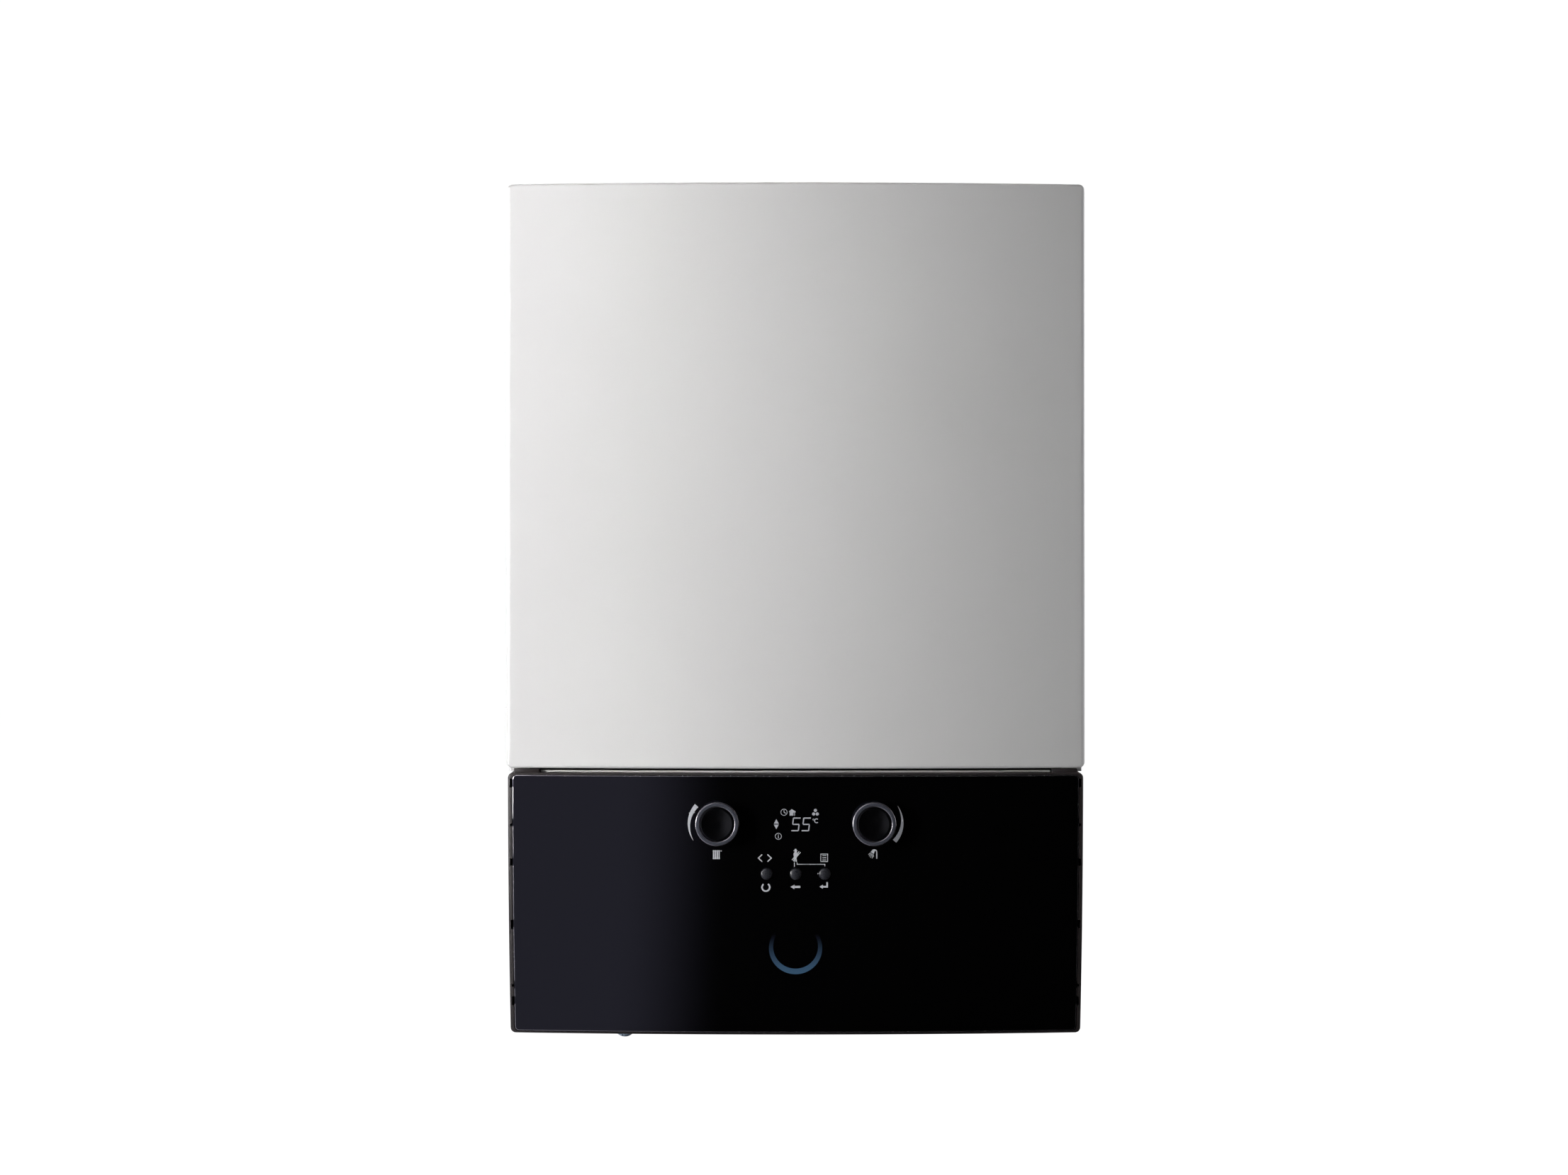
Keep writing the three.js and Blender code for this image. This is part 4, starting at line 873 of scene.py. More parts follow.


# the fascia's chamfer faces that get the painted highlight finish, broken beside the clip notches
def on_chamfer(spot, way):
    at_notch = any(abs(spot.z - height) < 0.0028 for height, tall in NOTCHES)
    at_edge = edge_distance(spot.x, spot.z, 0.196, -0.2935, -0.1135, 0.003) > -0.00066
    return way.y < -0.15 and at_edge and not (at_notch and abs(spot.x) > 0.19)


def fascia(gloss, edge):
    """The glossy black front sheet, with a hole for each key, and a chamfer in a brighter metal finish: a
    painted highlight for the light reflected along the sheet's edge.
    """
    sheet = panel_blank("panel_gloss_sheet", 0.196, -0.2935, -0.1135, 0, 0.003, 0.003, 64, 32)
    sweep_panel(sheet)
    pick_sharp(sheet, lambda spot: spot.y < panel_y(spot.x, spot.z) + 0.001)
    bevel(0.0007, 3)
    for i in (-1, 0, 1):
        bore(sheet, "y", (i * KEY_PITCH, 0, BUTTON_Z), 0.0043, -0.262, -0.240)
    finished(sheet, gloss, "panel_fascia", body="control_panel", angle=30)
    # the chamfer gets the brighter metal finish: a painted highlight
    trimmed(sheet, edge, on_chamfer)


def panel_box(dark):
    """The moulded frame round the gloss sheet, and the box behind it that holds the board."""
    half, low, high = 0.199, BOTTOM, PANEL_TOP
    body = panel_blank("panel_moulding", half, low, high, 0, 0.0375, 0.0035, 40, 20)
    sweep_panel(body, lambda spot: spot.y < -0.240)
    pick_sharp(body, lambda spot: spot.y < panel_y(spot.x, spot.z) + 0.001)
    bevel(0.0011, 3)
    pocket = panel_blank("pocket", 0.1963, -0.2938, -0.1132, -0.002, 0.0053, 0.0032, 40, 20)
    sweep_panel(pocket)
    inside = blank("inside", (-0.1875, -0.260, -0.2835), (0.1875, -0.200, -0.1185))
    notches = []
    for side in (-1, 1):
        for i, (height, tall) in enumerate(NOTCHES):
            notches.append(blank(
                f"notch{side}{i}", (side * 0.1968 - 0.0008, -0.250, height - tall / 2),
                (side * 0.1968 + 0.0008, -0.2385 + 0.026, height + tall / 2),
            ))
    carve(body, pocket, inside, *notches)
    box = blank("panel_back_box", (-0.190, -0.2056, -0.286), (0.190, -0.190, -0.116))
    round_corners(box, 0.002, 3)
    carve(box, blank("room", (-0.1875, -0.21, -0.2835), (0.1875, -0.18, -0.1185)))
    round_edges(box, 0.0004, 2, 60)
    tabs = []
    for side in (-1, 1):
        tab = blank(
            f"tab{side}", (side * 0.186 - 0.009, -0.2415, -0.1130), (side * 0.186 + 0.009, -0.2370, -0.1093),
        )
        round_edges(tab, 0.0006, 2)
        tabs.append(tab)
        lug = collar(f"lug{side}", "x", (0, HINGE_Y, HINGE_Z), 0.0045, 0.0027, side * 0.1875, side * 0.190)
        tabs += [lug, on_side(f"lug_web{side}", side, (0.1875, -0.2035, -0.2875), (0.190, -0.1945, -0.2850))]
    lip = eased("seam_lip", (-0.1895, -0.2075, -0.1170), (0.1895, -0.2060, -0.1085), 0.0004, 2)
    weld(body, box, lip, *tabs)
    finished(body, dark, "panel_frame", body="control_panel", angle=30)


def pale_seam_highlight(pale):
    """A pale strip in the seam over the panel, riding on the panel: a painted highlight for the light that the
    top of the panel's frame catches in the seam.
    """
    rail = blank("seam_highlight_strip", (-0.1765, -EDGE_DEPTH + 0.0085, -0.1118), (0.1765, -EDGE_DEPTH + 0.0095, -0.1105))
    slice_at(rail, "x", spread(-0.1765, 0.1765, 24))
    shift_levels(rail, "x", bow)
    finished(rail, pale, body="control_panel")


def out_from(face, *profile):
    """A profile whose places are measured out of a face, towards the room."""
    return [(radius, face - height) for radius, height in profile]


def knob(name, side, ring_finish, edge, face_finish, body):
    """One knob: a satin ring with eased edges round a dished black face. The ring's front edges get the
    brighter metal finish, a painted highlight for the reflections on their glossy chamfers.
    """
    x = side * KNOB_X
    seat = -0.2554
    ring = turned(f"{name}_bezel", "y", (x, 0, KNOB_Z), out_from(
        seat, (0.0142, 0), (0.0149, 0.0004), (0.0150, 0.0012),
        (0.0150, 0.0083), (0.0149, 0.0087), (0.0147, 0.0089),
        (0.0145, 0.0090), (0.0124, 0.0090), (0.0122, 0.0089),
        (0.0120, 0.0086), (0.0119, 0.0082), (0.01185, 0.0070),
        (0.01185, 0.0020),
    ), 96)
    finished(ring, ring_finish, f"{name}_ring", body=body)
    # the ring's front edges in the brighter metal finish: a painted highlight
    trimmed(ring, edge, lambda spot, way: -0.97 < way.y < -0.12 and spot.y < seat - 0.0080)
    face = turned(f"{name}_face", "y", (x, 0, KNOB_Z), out_from(
        seat, (0.0116, 0.0021), (0.0116, 0.0070), (0.01145, 0.0074), (0.0111, 0.0075), (0.0100, 0.0074),
        (0.0070, 0.0071), (0.0040, 0.0069), (0.0012, 0.0068),
    ), 96)
    finished(face, face_finish, name, body=body)


def key(name, x, grey, body):
    """A push button with a domed cap."""
    cap = turned(f"{name}_cap", "y", (x, 0, BUTTON_Z), [(0.0025, -0.2372)] + out_from(
        panel_y(0, BUTTON_Z), (0.0025, -0.0058), (0.0054, -0.0058), (0.0054, -0.0045), (0.00385, -0.0045),
        (0.0040, -0.0040), (0.0040, 0.0002), (0.00393, 0.0005), (0.0037, 0.0008), (0.0033, 0.0010),
        (0.0026, 0.0013), (0.0018, 0.0015), (0.0010, 0.0016), (0.0003, 0.0017),
    ))
    finished(cap, grey, name, body=body)


# ---------- marks on the panel: printed signs and the lit display ----------

def onto_panel(piece, lift=PRINT):
    """Lays a flat shape on the panel's swept face."""
    for vertex in piece.data.vertices:
        vertex.co.y += panel_y(vertex.co.x, vertex.co.z) - lift / 2
    return piece


def box_line(x0, z0, x1, z1):
    return [(x0, z0), (x1, z0), (x1, z1), (x0, z1)]


def bar_line(start, end, width):
    """The outline of a straight stroke."""
    (x0, z0), (x1, z1) = start, end
    length = math.hypot(x1 - x0, z1 - z0)
    across_x, across_z = -(z1 - z0) / length * width / 2, (x1 - x0) / length * width / 2
    return [
        (x0 + across_x, z0 + across_z), (x1 + across_x, z1 + across_z),
        (x1 - across_x, z1 - across_z), (x0 - across_x, z0 - across_z),
    ]


def arc(centre, radius, start, end, steps=24):
    x, z = centre
    turns = [math.radians(start + (end - start) * i / steps) for i in range(steps + 1)]
    return [(x + radius * math.cos(turn), z + radius * math.sin(turn)) for turn in turns]


def tapered_arc(centre, radius, width, start, end, steps=40):
    """A curved wedge: full width at its start, and a point at its end."""
    x, z = centre
    outer, inner = [], []
    for i in range(steps + 1):
        part = i / steps
        turn = math.radians(start + (end - start) * part)
        near = radius - width * (1 - part) ** 0.8 - 0.00005
        outer.append((x + radius * math.cos(turn), z + radius * math.sin(turn)))
        inner.append((x + near * math.cos(turn), z + near * math.sin(turn)))
    return outer + inner[::-1]


def ring_lines(centre, radius, width, steps=32):
    return [arc(centre, edge, 0, 360 - 360 / steps, steps - 1) for edge in (radius, radius - width)]


def band(centre, outer, inner, start, end, steps):
    """The outline of a curved stroke between two radii."""
    return arc(centre, outer, start, end, steps) + arc(centre, inner, end, start, steps)


def shifted(outline, x, z):
    return [(a + x, b + z) for a, b in outline]


def strokes(name, ink, width, *lines):
    """Numbered straight strokes, each from (x0, z0) to (x1, z1) in millimetres."""
    for i, (x0, z0, x1, z1) in enumerate(lines):
        sign(f"{name}_{i}", ink, bar_line(*millimetres((x0, z0), (x1, z1)), width))


def sign(name, ink, *outlines):
    finished(onto_panel(flat_shape(name, *outlines)), ink, body="control_panel")


def printed_signs(ink):
    left, right = (-KNOB_X, KNOB_Z), (KNOB_X, KNOB_Z)
    sign("heating_scale", ink, tapered_arc(left, 0.0203, 0.0031, 139, 216))
    sign("hot_water_scale", ink, tapered_arc(right, 0.0203, 0.0031, -41, 37))
    sign("heating_scale_tick", ink, bar_line((-0.0735, -0.1394), (-0.0694, -0.1390), 0.0006))
    bars = [box_line(-0.0570 + i * 0.00128, -0.1712, -0.0570 + i * 0.00128 + 0.0009, -0.1650) for i in range(4)]
    rails = [box_line(-0.0571, -0.1658, -0.0521, -0.1654), box_line(-0.0571, -0.1708, -0.0521, -0.1704)]
    for i, outline in enumerate(bars + rails):
        sign(f"radiator_sign_{i}", ink, outline)
    sign("radiator_dot", ink, arc((-0.0513, -0.1655), 0.00045, 0, 330, 11))
    shower_sign(ink)
    chevron = millimetres((2.75, 2.7), (-0.1, 0), (2.75, -2.7), (3.3, -2.2), (0.95, 0), (3.3, 2.2))
    sign("less_sign", ink, shifted(chevron, -0.0261, -0.1704))
    sign("more_sign", ink, shifted([(-x, z) for x, z in chevron], -0.0163, -0.1704))
    sweep_sign(ink)
    for i, outline in enumerate(ring_frame(0.0197, -0.1702, 0.0026, 0.0029, 0.0005)):
        sign(f"list_frame_{i}", ink, outline)
    for i in range(3):
        height = -0.1687 - i * 0.0015
        sign(f"list_line_{i}", ink, box_line(0.0184, height - 0.00025, 0.0210, height + 0.00025))
    sign("link_stem", ink, box_line(-0.0011, -0.1764, -0.0006, -0.1735))
    link = millimetres(
        (0.8, -173.4), (0.8, -174.95), (19.9, -174.95), (19.9, -176.2), (20.4, -176.2), (20.4, -174.45),
        (1.3, -174.45), (1.3, -173.4),
    )
    sign("link_line", ink, link)
    sign("enter_dot", ink, box_line(0.0151, -0.1818, 0.0155, -0.1807))
    sign("reset_sign", ink, band((-0.0205, -0.1907), 0.0032, 0.0021, 127, 418, 30))
    back = millimetres(
        (-3.5, -190.4), (-0.7, -192.0), (-0.7, -191.15), (3.2, -191.15), (3.2, -189.65), (-0.7, -189.65),
        (-0.7, -188.8),
    )
    sign("back_sign", ink, back)
    enter = millimetres(
        (16.4, -190.3), (18.8, -191.75), (18.8, -190.9), (22.3, -190.9), (22.3, -187.1), (21.1, -187.1),
        (21.1, -189.7), (18.8, -189.7), (18.8, -188.85),
    )
    sign("enter_sign", ink, enter)


def ring_frame(x, z, half_wide, half_tall, line):
    """The four strokes of an upright rectangle."""
    return (
        box_line(x - half_wide, z - half_tall, x - half_wide + line, z + half_tall),
        box_line(x + half_wide - line, z - half_tall, x + half_wide, z + half_tall),
        box_line(x - half_wide + line, z + half_tall - line, x + half_wide - line, z + half_tall),
        box_line(x - half_wide + line, z - half_tall, x + half_wide - line, z - half_tall + line),
    )


def shower_sign(ink):
    """A shower rose on its bent arm, with five jets."""
    arm = arc((0.0545, -0.1663), 0.0018, 100, -5, 10) + [(0.0563, -0.1709), (0.0555, -0.1709)]
    arm += arc((0.0545, -0.1663), 0.0010, -5, 100, 10)
    sign("shower_arm", ink, arm)
    rose = millimetres((51.7, -166.3), (53.0, -164.6), (54.4, -164.4), (54.6, -165.6), (53.9, -167.6))
    sign("shower_rose", ink, rose)
    strokes(
        "shower_jet", ink, 0.00035, (51.6, -166.9, 50.2, -167.9), (52.1, -167.2, 50.6, -169.2),
        (52.6, -167.4, 51.5, -170.2), (53.1, -167.6, 52.7, -170.6), (53.5, -167.9, 53.7, -169.6),
    )


def sweep_sign(ink):
    """The usual sign of the flue test: a sweep in a hat, with a ladder over the shoulder."""
    figure = millimetres(
        (-0.7, -164.0), (0.6, -164.0), (0.6, -165.0), (1.3, -165.1),
        (1.3, -165.6), (0.7, -165.6), (0.8, -166.4),
        (1.6, -167.0), (1.8, -168.6), (1.0, -169.6), (0.6, -170.4),
        (0.9, -172.9), (0.0, -172.9), (-0.3, -170.9),
        (-0.5, -172.9), (-1.3, -172.9), (-1.0, -170.2), (-1.5, -168.0), (-1.4, -166.9), (-0.7, -166.4),
        (-0.8, -165.6), (-1.4, -165.6), (-1.4, -165.1), (-0.7, -165.0),
    )
    sign("sweep_figure", ink, figure)
    strokes(
        "sweep_ladder", ink, 0.00045, (-2.6, -171.7, 2.4, -165.7), (-1.7, -172.4, 3.4, -166.3),
        (-2.2, -170.9, -1.5, -171.6), (1.8, -166.7, 2.6, -167.4), (-1.7, -170.3, -1.0, -171.0),
        (1.2, -167.4, 2.0, -168.1),
    )


def display_signs(glow):
    """The lit figures of the display: 55, a degree sign, and small signs round it."""
    lean = 0.12
    width, tall, line = 0.0052, 0.0095, 0.0008
    figure = {
        "top": box_line(0.0004, tall - line, width + 0.0001, tall),
        "upper": box_line(0, tall / 2 + 0.0002, line, tall - 0.0003),
        "middle": box_line(0.0004, tall / 2 - line / 2, width - 0.0004, tall / 2 + line / 2),
        "lower": box_line(width - line, 0.0004, width, tall / 2 - 0.0002),
        "foot": box_line(0, 0, width - 0.0004, line),
    }
    for digit, left in enumerate((-0.0030, 0.0041)):
        for stroke, outline in figure.items():
            sign(f"digit_{digit}_{stroke}", glow, [(left + x + z * lean, -0.1518 + z) for x, z in outline])
    sign("degree_ring", glow, *ring_lines((0.0122, -0.1437), 0.0006, 0.0003, 16))
    sign("degree_letter", glow, band((0.0144, -0.1446), 0.00165, 0.00105, 48, 312, 16))
    sign("clock_ring", glow, *ring_lines((-0.0080, -0.1387), 0.00235, 0.0004))
    sign("clock_hand", glow, bar_line((-0.0080, -0.1387), (-0.0080, -0.1371), 0.0005))
    sign("clock_hand_short", glow, bar_line((-0.0081, -0.1387), (-0.0067, -0.1394), 0.0005))
    house = millimetres(
        (-4.7, -138.3), (-2.7, -136.5), (0.2, -138.3), (-0.1, -138.8), (-0.5, -138.6), (-0.5, -141.0),
        (-0.9, -141.0), (-0.9, -138.9), (-1.5, -138.9), (-1.5, -141.0), (-4.1, -141.0), (-4.1, -138.6),
    )
    sign("house_sign", glow, house)
    for i, (x, z) in enumerate(((0.0136, -0.1374), (0.0124, -0.1399), (0.0149, -0.1399))):
        sign(f"tap_dot_{i}", glow, arc((x, z), 0.0011, 0, 340, 17))
    sign("up_sign", glow, millimetres((-15.0, -146.6), (-11.6, -146.6), (-13.3, -143.4)))
    sign("down_sign", glow, millimetres((-15.0, -147.2), (-13.3, -150.4), (-11.6, -147.2)))
    sign("info_ring", glow, *ring_lines((-0.0119, -0.1553), 0.0023, 0.0004))
    sign("info_stem", glow, box_line(-0.0122, -0.1565, -0.0116, -0.1550))
    sign("info_dot", glow, box_line(-0.0122, -0.1546, -0.0116, -0.1541))


def status_crescent(glow):
    """The crescent of blue light at the foot of the panel."""
    centre, lifted = (0.0, LIGHT_Z), (0.0, LIGHT_Z + 0.001)
    outline = arc(centre, 0.0184, 148, 392, 60) + arc(lifted, 0.0155, 392, 148, 60)
    piece = onto_panel(flat_shape("status_crescent", outline))
    finished(piece, glow, "status_light_guide", body="control_panel")


# ---------- fastenings and turned parts ----------

def collar(name, axis, centre, outer, inner, start, end, ease=0.0006, sides=72):
    """A round sleeve between two places, with eased rims and a bore."""
    start, end = sorted((start, end))
    sleeve = turned(name, axis, centre, [
        (outer - ease, start), (outer, start + ease), (outer, end - ease), (outer - ease, end),
    ], sides)
    if inner:
        bore(sleeve, axis, centre, inner, start - 0.002, end + 0.002, sides)
    return sleeve


def on_side(name, side, low, high):
    """A block given by its corners on the right side, or its mirror image on the left."""
    near, far = sorted((side * low[0], side * high[0]))
    return blank(name, (near, *low[1:]), (far, *high[1:]))


def around(axis, centre, radius, turns, place):
    """Places on a circle round an axis, Y or Z, at one place along it. Turns are in degrees from X."""
    spots = []
    for turn in turns:
        spot = along(axis, place, centre)
        spot[0] += radius * math.cos(math.radians(turn))
        spot["xzy".index(axis)] += radius * math.sin(math.radians(turn))
        spots.append(spot)
    return spots


def hexagon(name, axis, centre, across, start, end):
    """A hexagon nut or head with its corners turned down."""
    corner = across / math.sqrt(3)
    nut = bar(name, axis, centre, corner, start, end, 6)
    slope = (corner - across / 2) * 0.6
    cone = turned(f"{name}_cone", axis, centre, [
        (across / 2, start), (corner * 1.001, start + slope),
        (corner * 1.001, end - slope), (across / 2, end),
    ], 48)
    combine(nut, "INTERSECT", cone)
    return nut


def pan_screw(name, axis, spot, radius, way, height=0.4):
    """A pan-head screw with a crossed recess, standing out of its sheet one way along the axis."""
    lie = "xyz".index(axis)

    def rise(part):
        return spot[lie] + way * radius * height * part

    head = turned(name, axis, spot, [
        (radius, rise(-0.4)), (radius, rise(0.45)), (radius * 0.94, rise(0.70)), (radius * 0.78, rise(0.87)),
        (radius * 0.45, rise(0.97)), (radius * 0.1, rise(1.0)),
    ], 32)
    for lengthwise in (i for i in range(3) if i != lie):
        low, high = list(spot), list(spot)
        low[lie], high[lie] = sorted((rise(0.35), rise(1.4)))
        for i, reach in ((lengthwise, radius * 0.52), (3 - lie - lengthwise, radius * 0.11)):
            low[i], high[i] = spot[i] - reach, spot[i] + reach
        carve(head, blank("recess", low, high))
    return head


def screws(prefix, metal, axis, spots, radius, way, height=0.4, body="casing"):
    """One screw modelled at the first spot, and copies of it at the others."""
    first = pan_screw(f"{prefix}_0", axis, spots[0], radius, way, height)
    heads = [first]
    for i, spot in enumerate(spots[1:], 1):
        heads.append(copied(first, f"{prefix}_{i}", [b - a for a, b in zip(spots[0], spot)]))
    for head in heads:
        finished(head, metal, body=body)


def flute(piece, axis, centre, count, ratio, low, high):
    """Presses grip flutes into the rim of a turned piece, between two places along its axis."""
    lie = "xyz".index(axis)
    first, second = (i for i in range(3) if i != lie)

    def in_valley(spot):
        turn = math.atan2(spot[first] - centre[first], spot[second] - centre[second])
        return low <= spot[lie] <= high and abs(turn * count / math.tau % 1 - 0.5) < 0.2

    pick(piece, "VERT", in_valley)
    widen(axis, ratio, centre)
    done()


def thread(radius, start, end, pitch=0.0018, depth=0.0008):
    """The profile of a thread, from start towards end."""
    way = 1 if end > start else -1
    profile = []
    for i in range(int(abs(end - start) / pitch)):
        profile += [(radius - depth, start + way * pitch * i), (radius, start + way * pitch * (i + 0.5))]
    return profile + [(radius - depth, end)]


# ---------- casing ----------

def side_panel(white, steel, name, side):
    """A painted side sheet with a folded front flange, and a shoulder cut out for the control panel."""
    sheet = drawn(f"{name}_side_sheet", "z", [
        (side * 0.1974, 0), (side * SIDE_OUTER, 0), (side * SIDE_OUTER, CASE_FRONT),
        (side * 0.1844, CASE_FRONT), (side * 0.1844, CASE_FRONT + 0.001), (side * 0.1974, CASE_FRONT + 0.001),
    ], -0.293, LID_TOP)
    carve(
        sheet, blank("shoulder", (-0.25, CASE_FRONT - 0.01, -0.30), (0.25, -0.2037, -0.1113)),
        on_side("head", side, (0.18, CASE_FRONT - 0.01, 0.2921), (0.1973, -0.22, 0.30)),
    )
    round_corners(
        sheet, 0.0009, 4, lambda spot: abs(spot.x) > 0.1983 and spot.y < CASE_FRONT + 0.0002, "z",
    )
    round_edges(sheet, 0.00025, 2, 60)
    finished(sheet, white, f"{name}_side_panel", angle=30)
    spots = [(side * SIDE_OUTER, -0.010, z) for z in (-0.262, -0.075, 0.095, 0.262)]
    screws(f"{name}_side_screw", steel, "x", spots, 0.0034, side)


def top_panel(white, steel):
    """The painted lid with its folded front and the hole for the flue."""
    lid = drawn("lid_sheet", "x", [
        (0, 0.2924), (0, LID_TOP), (CASE_FRONT, LID_TOP), (CASE_FRONT, 0.2784),
        (CASE_FRONT + 0.001, 0.2784), (CASE_FRONT + 0.001, 0.2924),
    ], -0.1971, 0.1971)
    for name, side in SIDES:
        carve(lid, on_side("fold_end", side, (0.1841, CASE_FRONT - 0.01, 0.27), (0.2, -0.22, 0.2923)))
    bore(lid, "z", (0, FLUE_Y, 0), 0.0523, 0.28, 0.30, 96)
    round_corners(
        lid, 0.0009, 4, lambda spot: spot.z > LID_TOP - 0.0001 and spot.y < CASE_FRONT + 0.0002, "x",
    )
    round_edges(lid, 0.00025, 2, 60)
    finished(lid, white, "top_panel", angle=30)
    spots = [(x, y, LID_TOP) for x in (-0.178, 0.178) for y in (-0.012, -0.170)]
    screws("lid_screw", steel, "z", spots, 0.0036, 1, 0.5)


def back_frame(zinc):
    """The galvanised back with its side flanges, pressed stiffening panels and the window of the bracket."""
    plate = blank("back_plate", (-0.1971, -0.0015, -0.293), (0.1971, 0, 0.2921))
    slice_at(plate, "x", [side * x for side in (-1, 1) for x in (0.140, 0.136, 0.184, 0.181, 0.171, 0.168)])
    slice_at(plate, "z", (-0.270, -0.266, -0.072, -0.068, -0.044, -0.041, 0.102, 0.105))
    pick(plate, "VERT", lambda spot: abs(spot.x) < 0.1362 and -0.2662 < spot.z < -0.0718)
    bpy.ops.transform.translate(value=(0, -0.003, 0))
    done()
    pick(plate, "VERT", lambda spot: 0.1708 < abs(spot.x) < 0.1812 and -0.0412 < spot.z < 0.1022)
    bpy.ops.transform.translate(value=(0, -0.0025, 0))
    done()
    for name, side in SIDES:
        join_solid(plate, on_side("flange", side, (0.1956, -0.020, -0.293), (0.1971, 0, 0.2921)))
    window = blank("window", (-0.093, -0.03, 0.233), (0.093, 0.01, 0.2753))
    round_corners(window, 0.004)
    holes = [bar("hole", "y", (x, 0, z), 0.0035, -0.01, 0.01, 32)
             for x in (-0.160, 0.160) for z in (-0.281, 0.262)]
    carve(plate, window, *holes)
    round_edges(plate, 0.00025, 1, 60)
    finished(plate, zinc, "back_frame", angle=20)


def wall_bracket(zinc):
    """The hanging rail: a plate with two screw holes, folded to a hook along its top."""
    rail = drawn("hanging_rail", "x", millimetres(
        (0, 235), (0, 275), (-2.5, 275), (-2.5, 285), (-4.5, 285), (-4.5, 273), (-2, 273), (-2, 235),
    ), -0.090, 0.090)
    round_corners(
        rail, 0.0018, 4, lambda spot: abs(spot.x) > 0.0895 and (spot.z < 0.236 or spot.z > 0.284),
    )
    round_edges(rail, 0.0003, 2, 60)
    carve(rail, *[bar("hole", "y", (x, 0, 0.255), 0.004, -0.01, 0.01, 48) for x in (-0.060, 0.060)])
    finished(rail, zinc, "wall_bracket", angle=30)


def bottom_tray(zinc, rubber, steel):
    """The tray under the boiler: its pipe holes with rubber grommets, and the ears of the panel's hinge."""
    tray = drawn("tray_sheet", "x", millimetres(
        (-1.8, -293), (-1.8, -291.8), (-185.3, -291.8), (-185.3, -283), (-186.5, -283), (-186.5, -293),
    ), -0.1953, 0.1953)
    round_corners(tray, 0.001, 4, lambda spot: spot.y < -0.1864 and spot.z < -0.2929, "x")
    grommets = [(name, (x, PIPE_Y, 0), radius) for _, name, x, radius in PIPE_ENDS]
    holes = [(centre, radius + 0.0003, 64) for name, centre, radius in grommets]
    holes += [(TAP, 0.011, 64), (TRAP, 0.0103, 64)]
    holes += [((x, -0.170, 0), 0.003, 24) for x in (-0.16, -0.06, 0.06, 0.16)]
    for centre, radius, sides in holes:
        bore(tray, "z", centre, radius, -0.30, -0.28, sides)
    round_edges(tray, 0.00025, 1, 60)
    finished(tray, zinc, "bottom_tray", angle=30)
    for name, centre, radius in grommets + [("drain", TRAP, 0.010)]:
        finished(collar(
            f"{name}_grommet", "z", centre, radius + 0.0035, radius + 0.0001, -0.2952, -0.2930, 0.0008,
        ), rubber)
    hinge = (0, HINGE_Y, HINGE_Z)
    for name, side in SIDES:
        ear = on_side(f"{name}_hinge_ear", side, (0.192, HINGE_Y, -0.2945), (0.195, -0.1853, -0.2855))
        join_solid(ear, bar("eye", "x", hinge, 0.0045, side * 0.192, side * 0.195, 48))
        finished(ear, zinc)
        finished(collar(f"{name}_hinge_pin", "x", hinge, 0.0025, 0, side * 0.1872, side * 0.1950), steel)


def pipe_end(name, x, radius, metal):
    """A threaded brass pipe end under its hexagon, with a bore."""
    foot, head = -0.308, -0.275
    centre = (x, PIPE_Y, 0)
    profile = [(radius - 0.0012, foot)] + thread(radius, foot + 0.0010, foot + 0.0136)
    profile += [(radius - 0.0006, foot + 0.0142), (radius, foot + 0.0148), (radius, head - 0.0092)]
    end = turned(f"{name}_end", "z", centre, profile, 64)
    bore(end, "z", centre, radius - 0.0025, foot - 0.001, head - 0.0095, 64)
    nut = hexagon(f"{name}_nut", "z", centre, (radius + 0.004) * math.sqrt(3), head - 0.009, head)
    finished(weld(end, nut), metal, *([f"{name}_stub"] if name != "gas" else []))


def flue_adapter(pale, black, steel, grey):
    """The double flue socket: the air socket on its seat, the gas socket on three webs, and two test caps."""
    centre = (0, FLUE_Y, 0)
    pieces = [collar(name, "z", centre, outer, inner, start, end, ease, 96) for (
        name, outer, inner, start, end, ease,
    ) in (
        ("air_socket", 0.052, 0.0502, 0.262, 0.301, 0.0006),
        ("flue_seat_ring", 0.062, 0.0505, 0.2937, 0.2962, 0.0008),
        ("air_socket_bead", 0.0532, 0.0504, 0.2978, 0.3008, 0.0012),
        ("gas_socket", 0.0322, 0.0304, 0.256, 0.301, 0.0006),
        ("gas_socket_bead", 0.0334, 0.0306, 0.2975, 0.3008, 0.0012),
    )]
    for turn in (90, 210, 330):
        web = blank(f"web_{turn}", (0.0315, -0.0015, 0.2625), (0.0509, 0.0015, 0.2755))
        pieces.append(placed(web, (0, 0, turn), centre))
    finished(weld(*pieces), pale, "flue_adapter")
    spots = around("z", centre, 0.057, (60, 120, 210, 330), 0.2962)
    screws("flue_seat_screw", steel, "z", spots, 0.0030, 1, 0.5)
    for i, spot in enumerate(around("z", centre, 0.0572, (255, 285), 0)):
        cap = turned(f"test_cap_{i}", "z", spot, millimetres(
            (4.4, 296), (4.4, 299.2), (4, 299.8), (2, 300), (1.9, 299),
        ), 48)
        flute(cap, "z", spot, 12, 0.94, 0.2959, 0.2993)
        finished(cap, black)
    sleeve = collar("flue_link_sleeve", "z", centre, 0.030, 0.0284, 0.238, 0.268, 0.0005, 96)
    finished(sleeve, grey, "flue_duct")


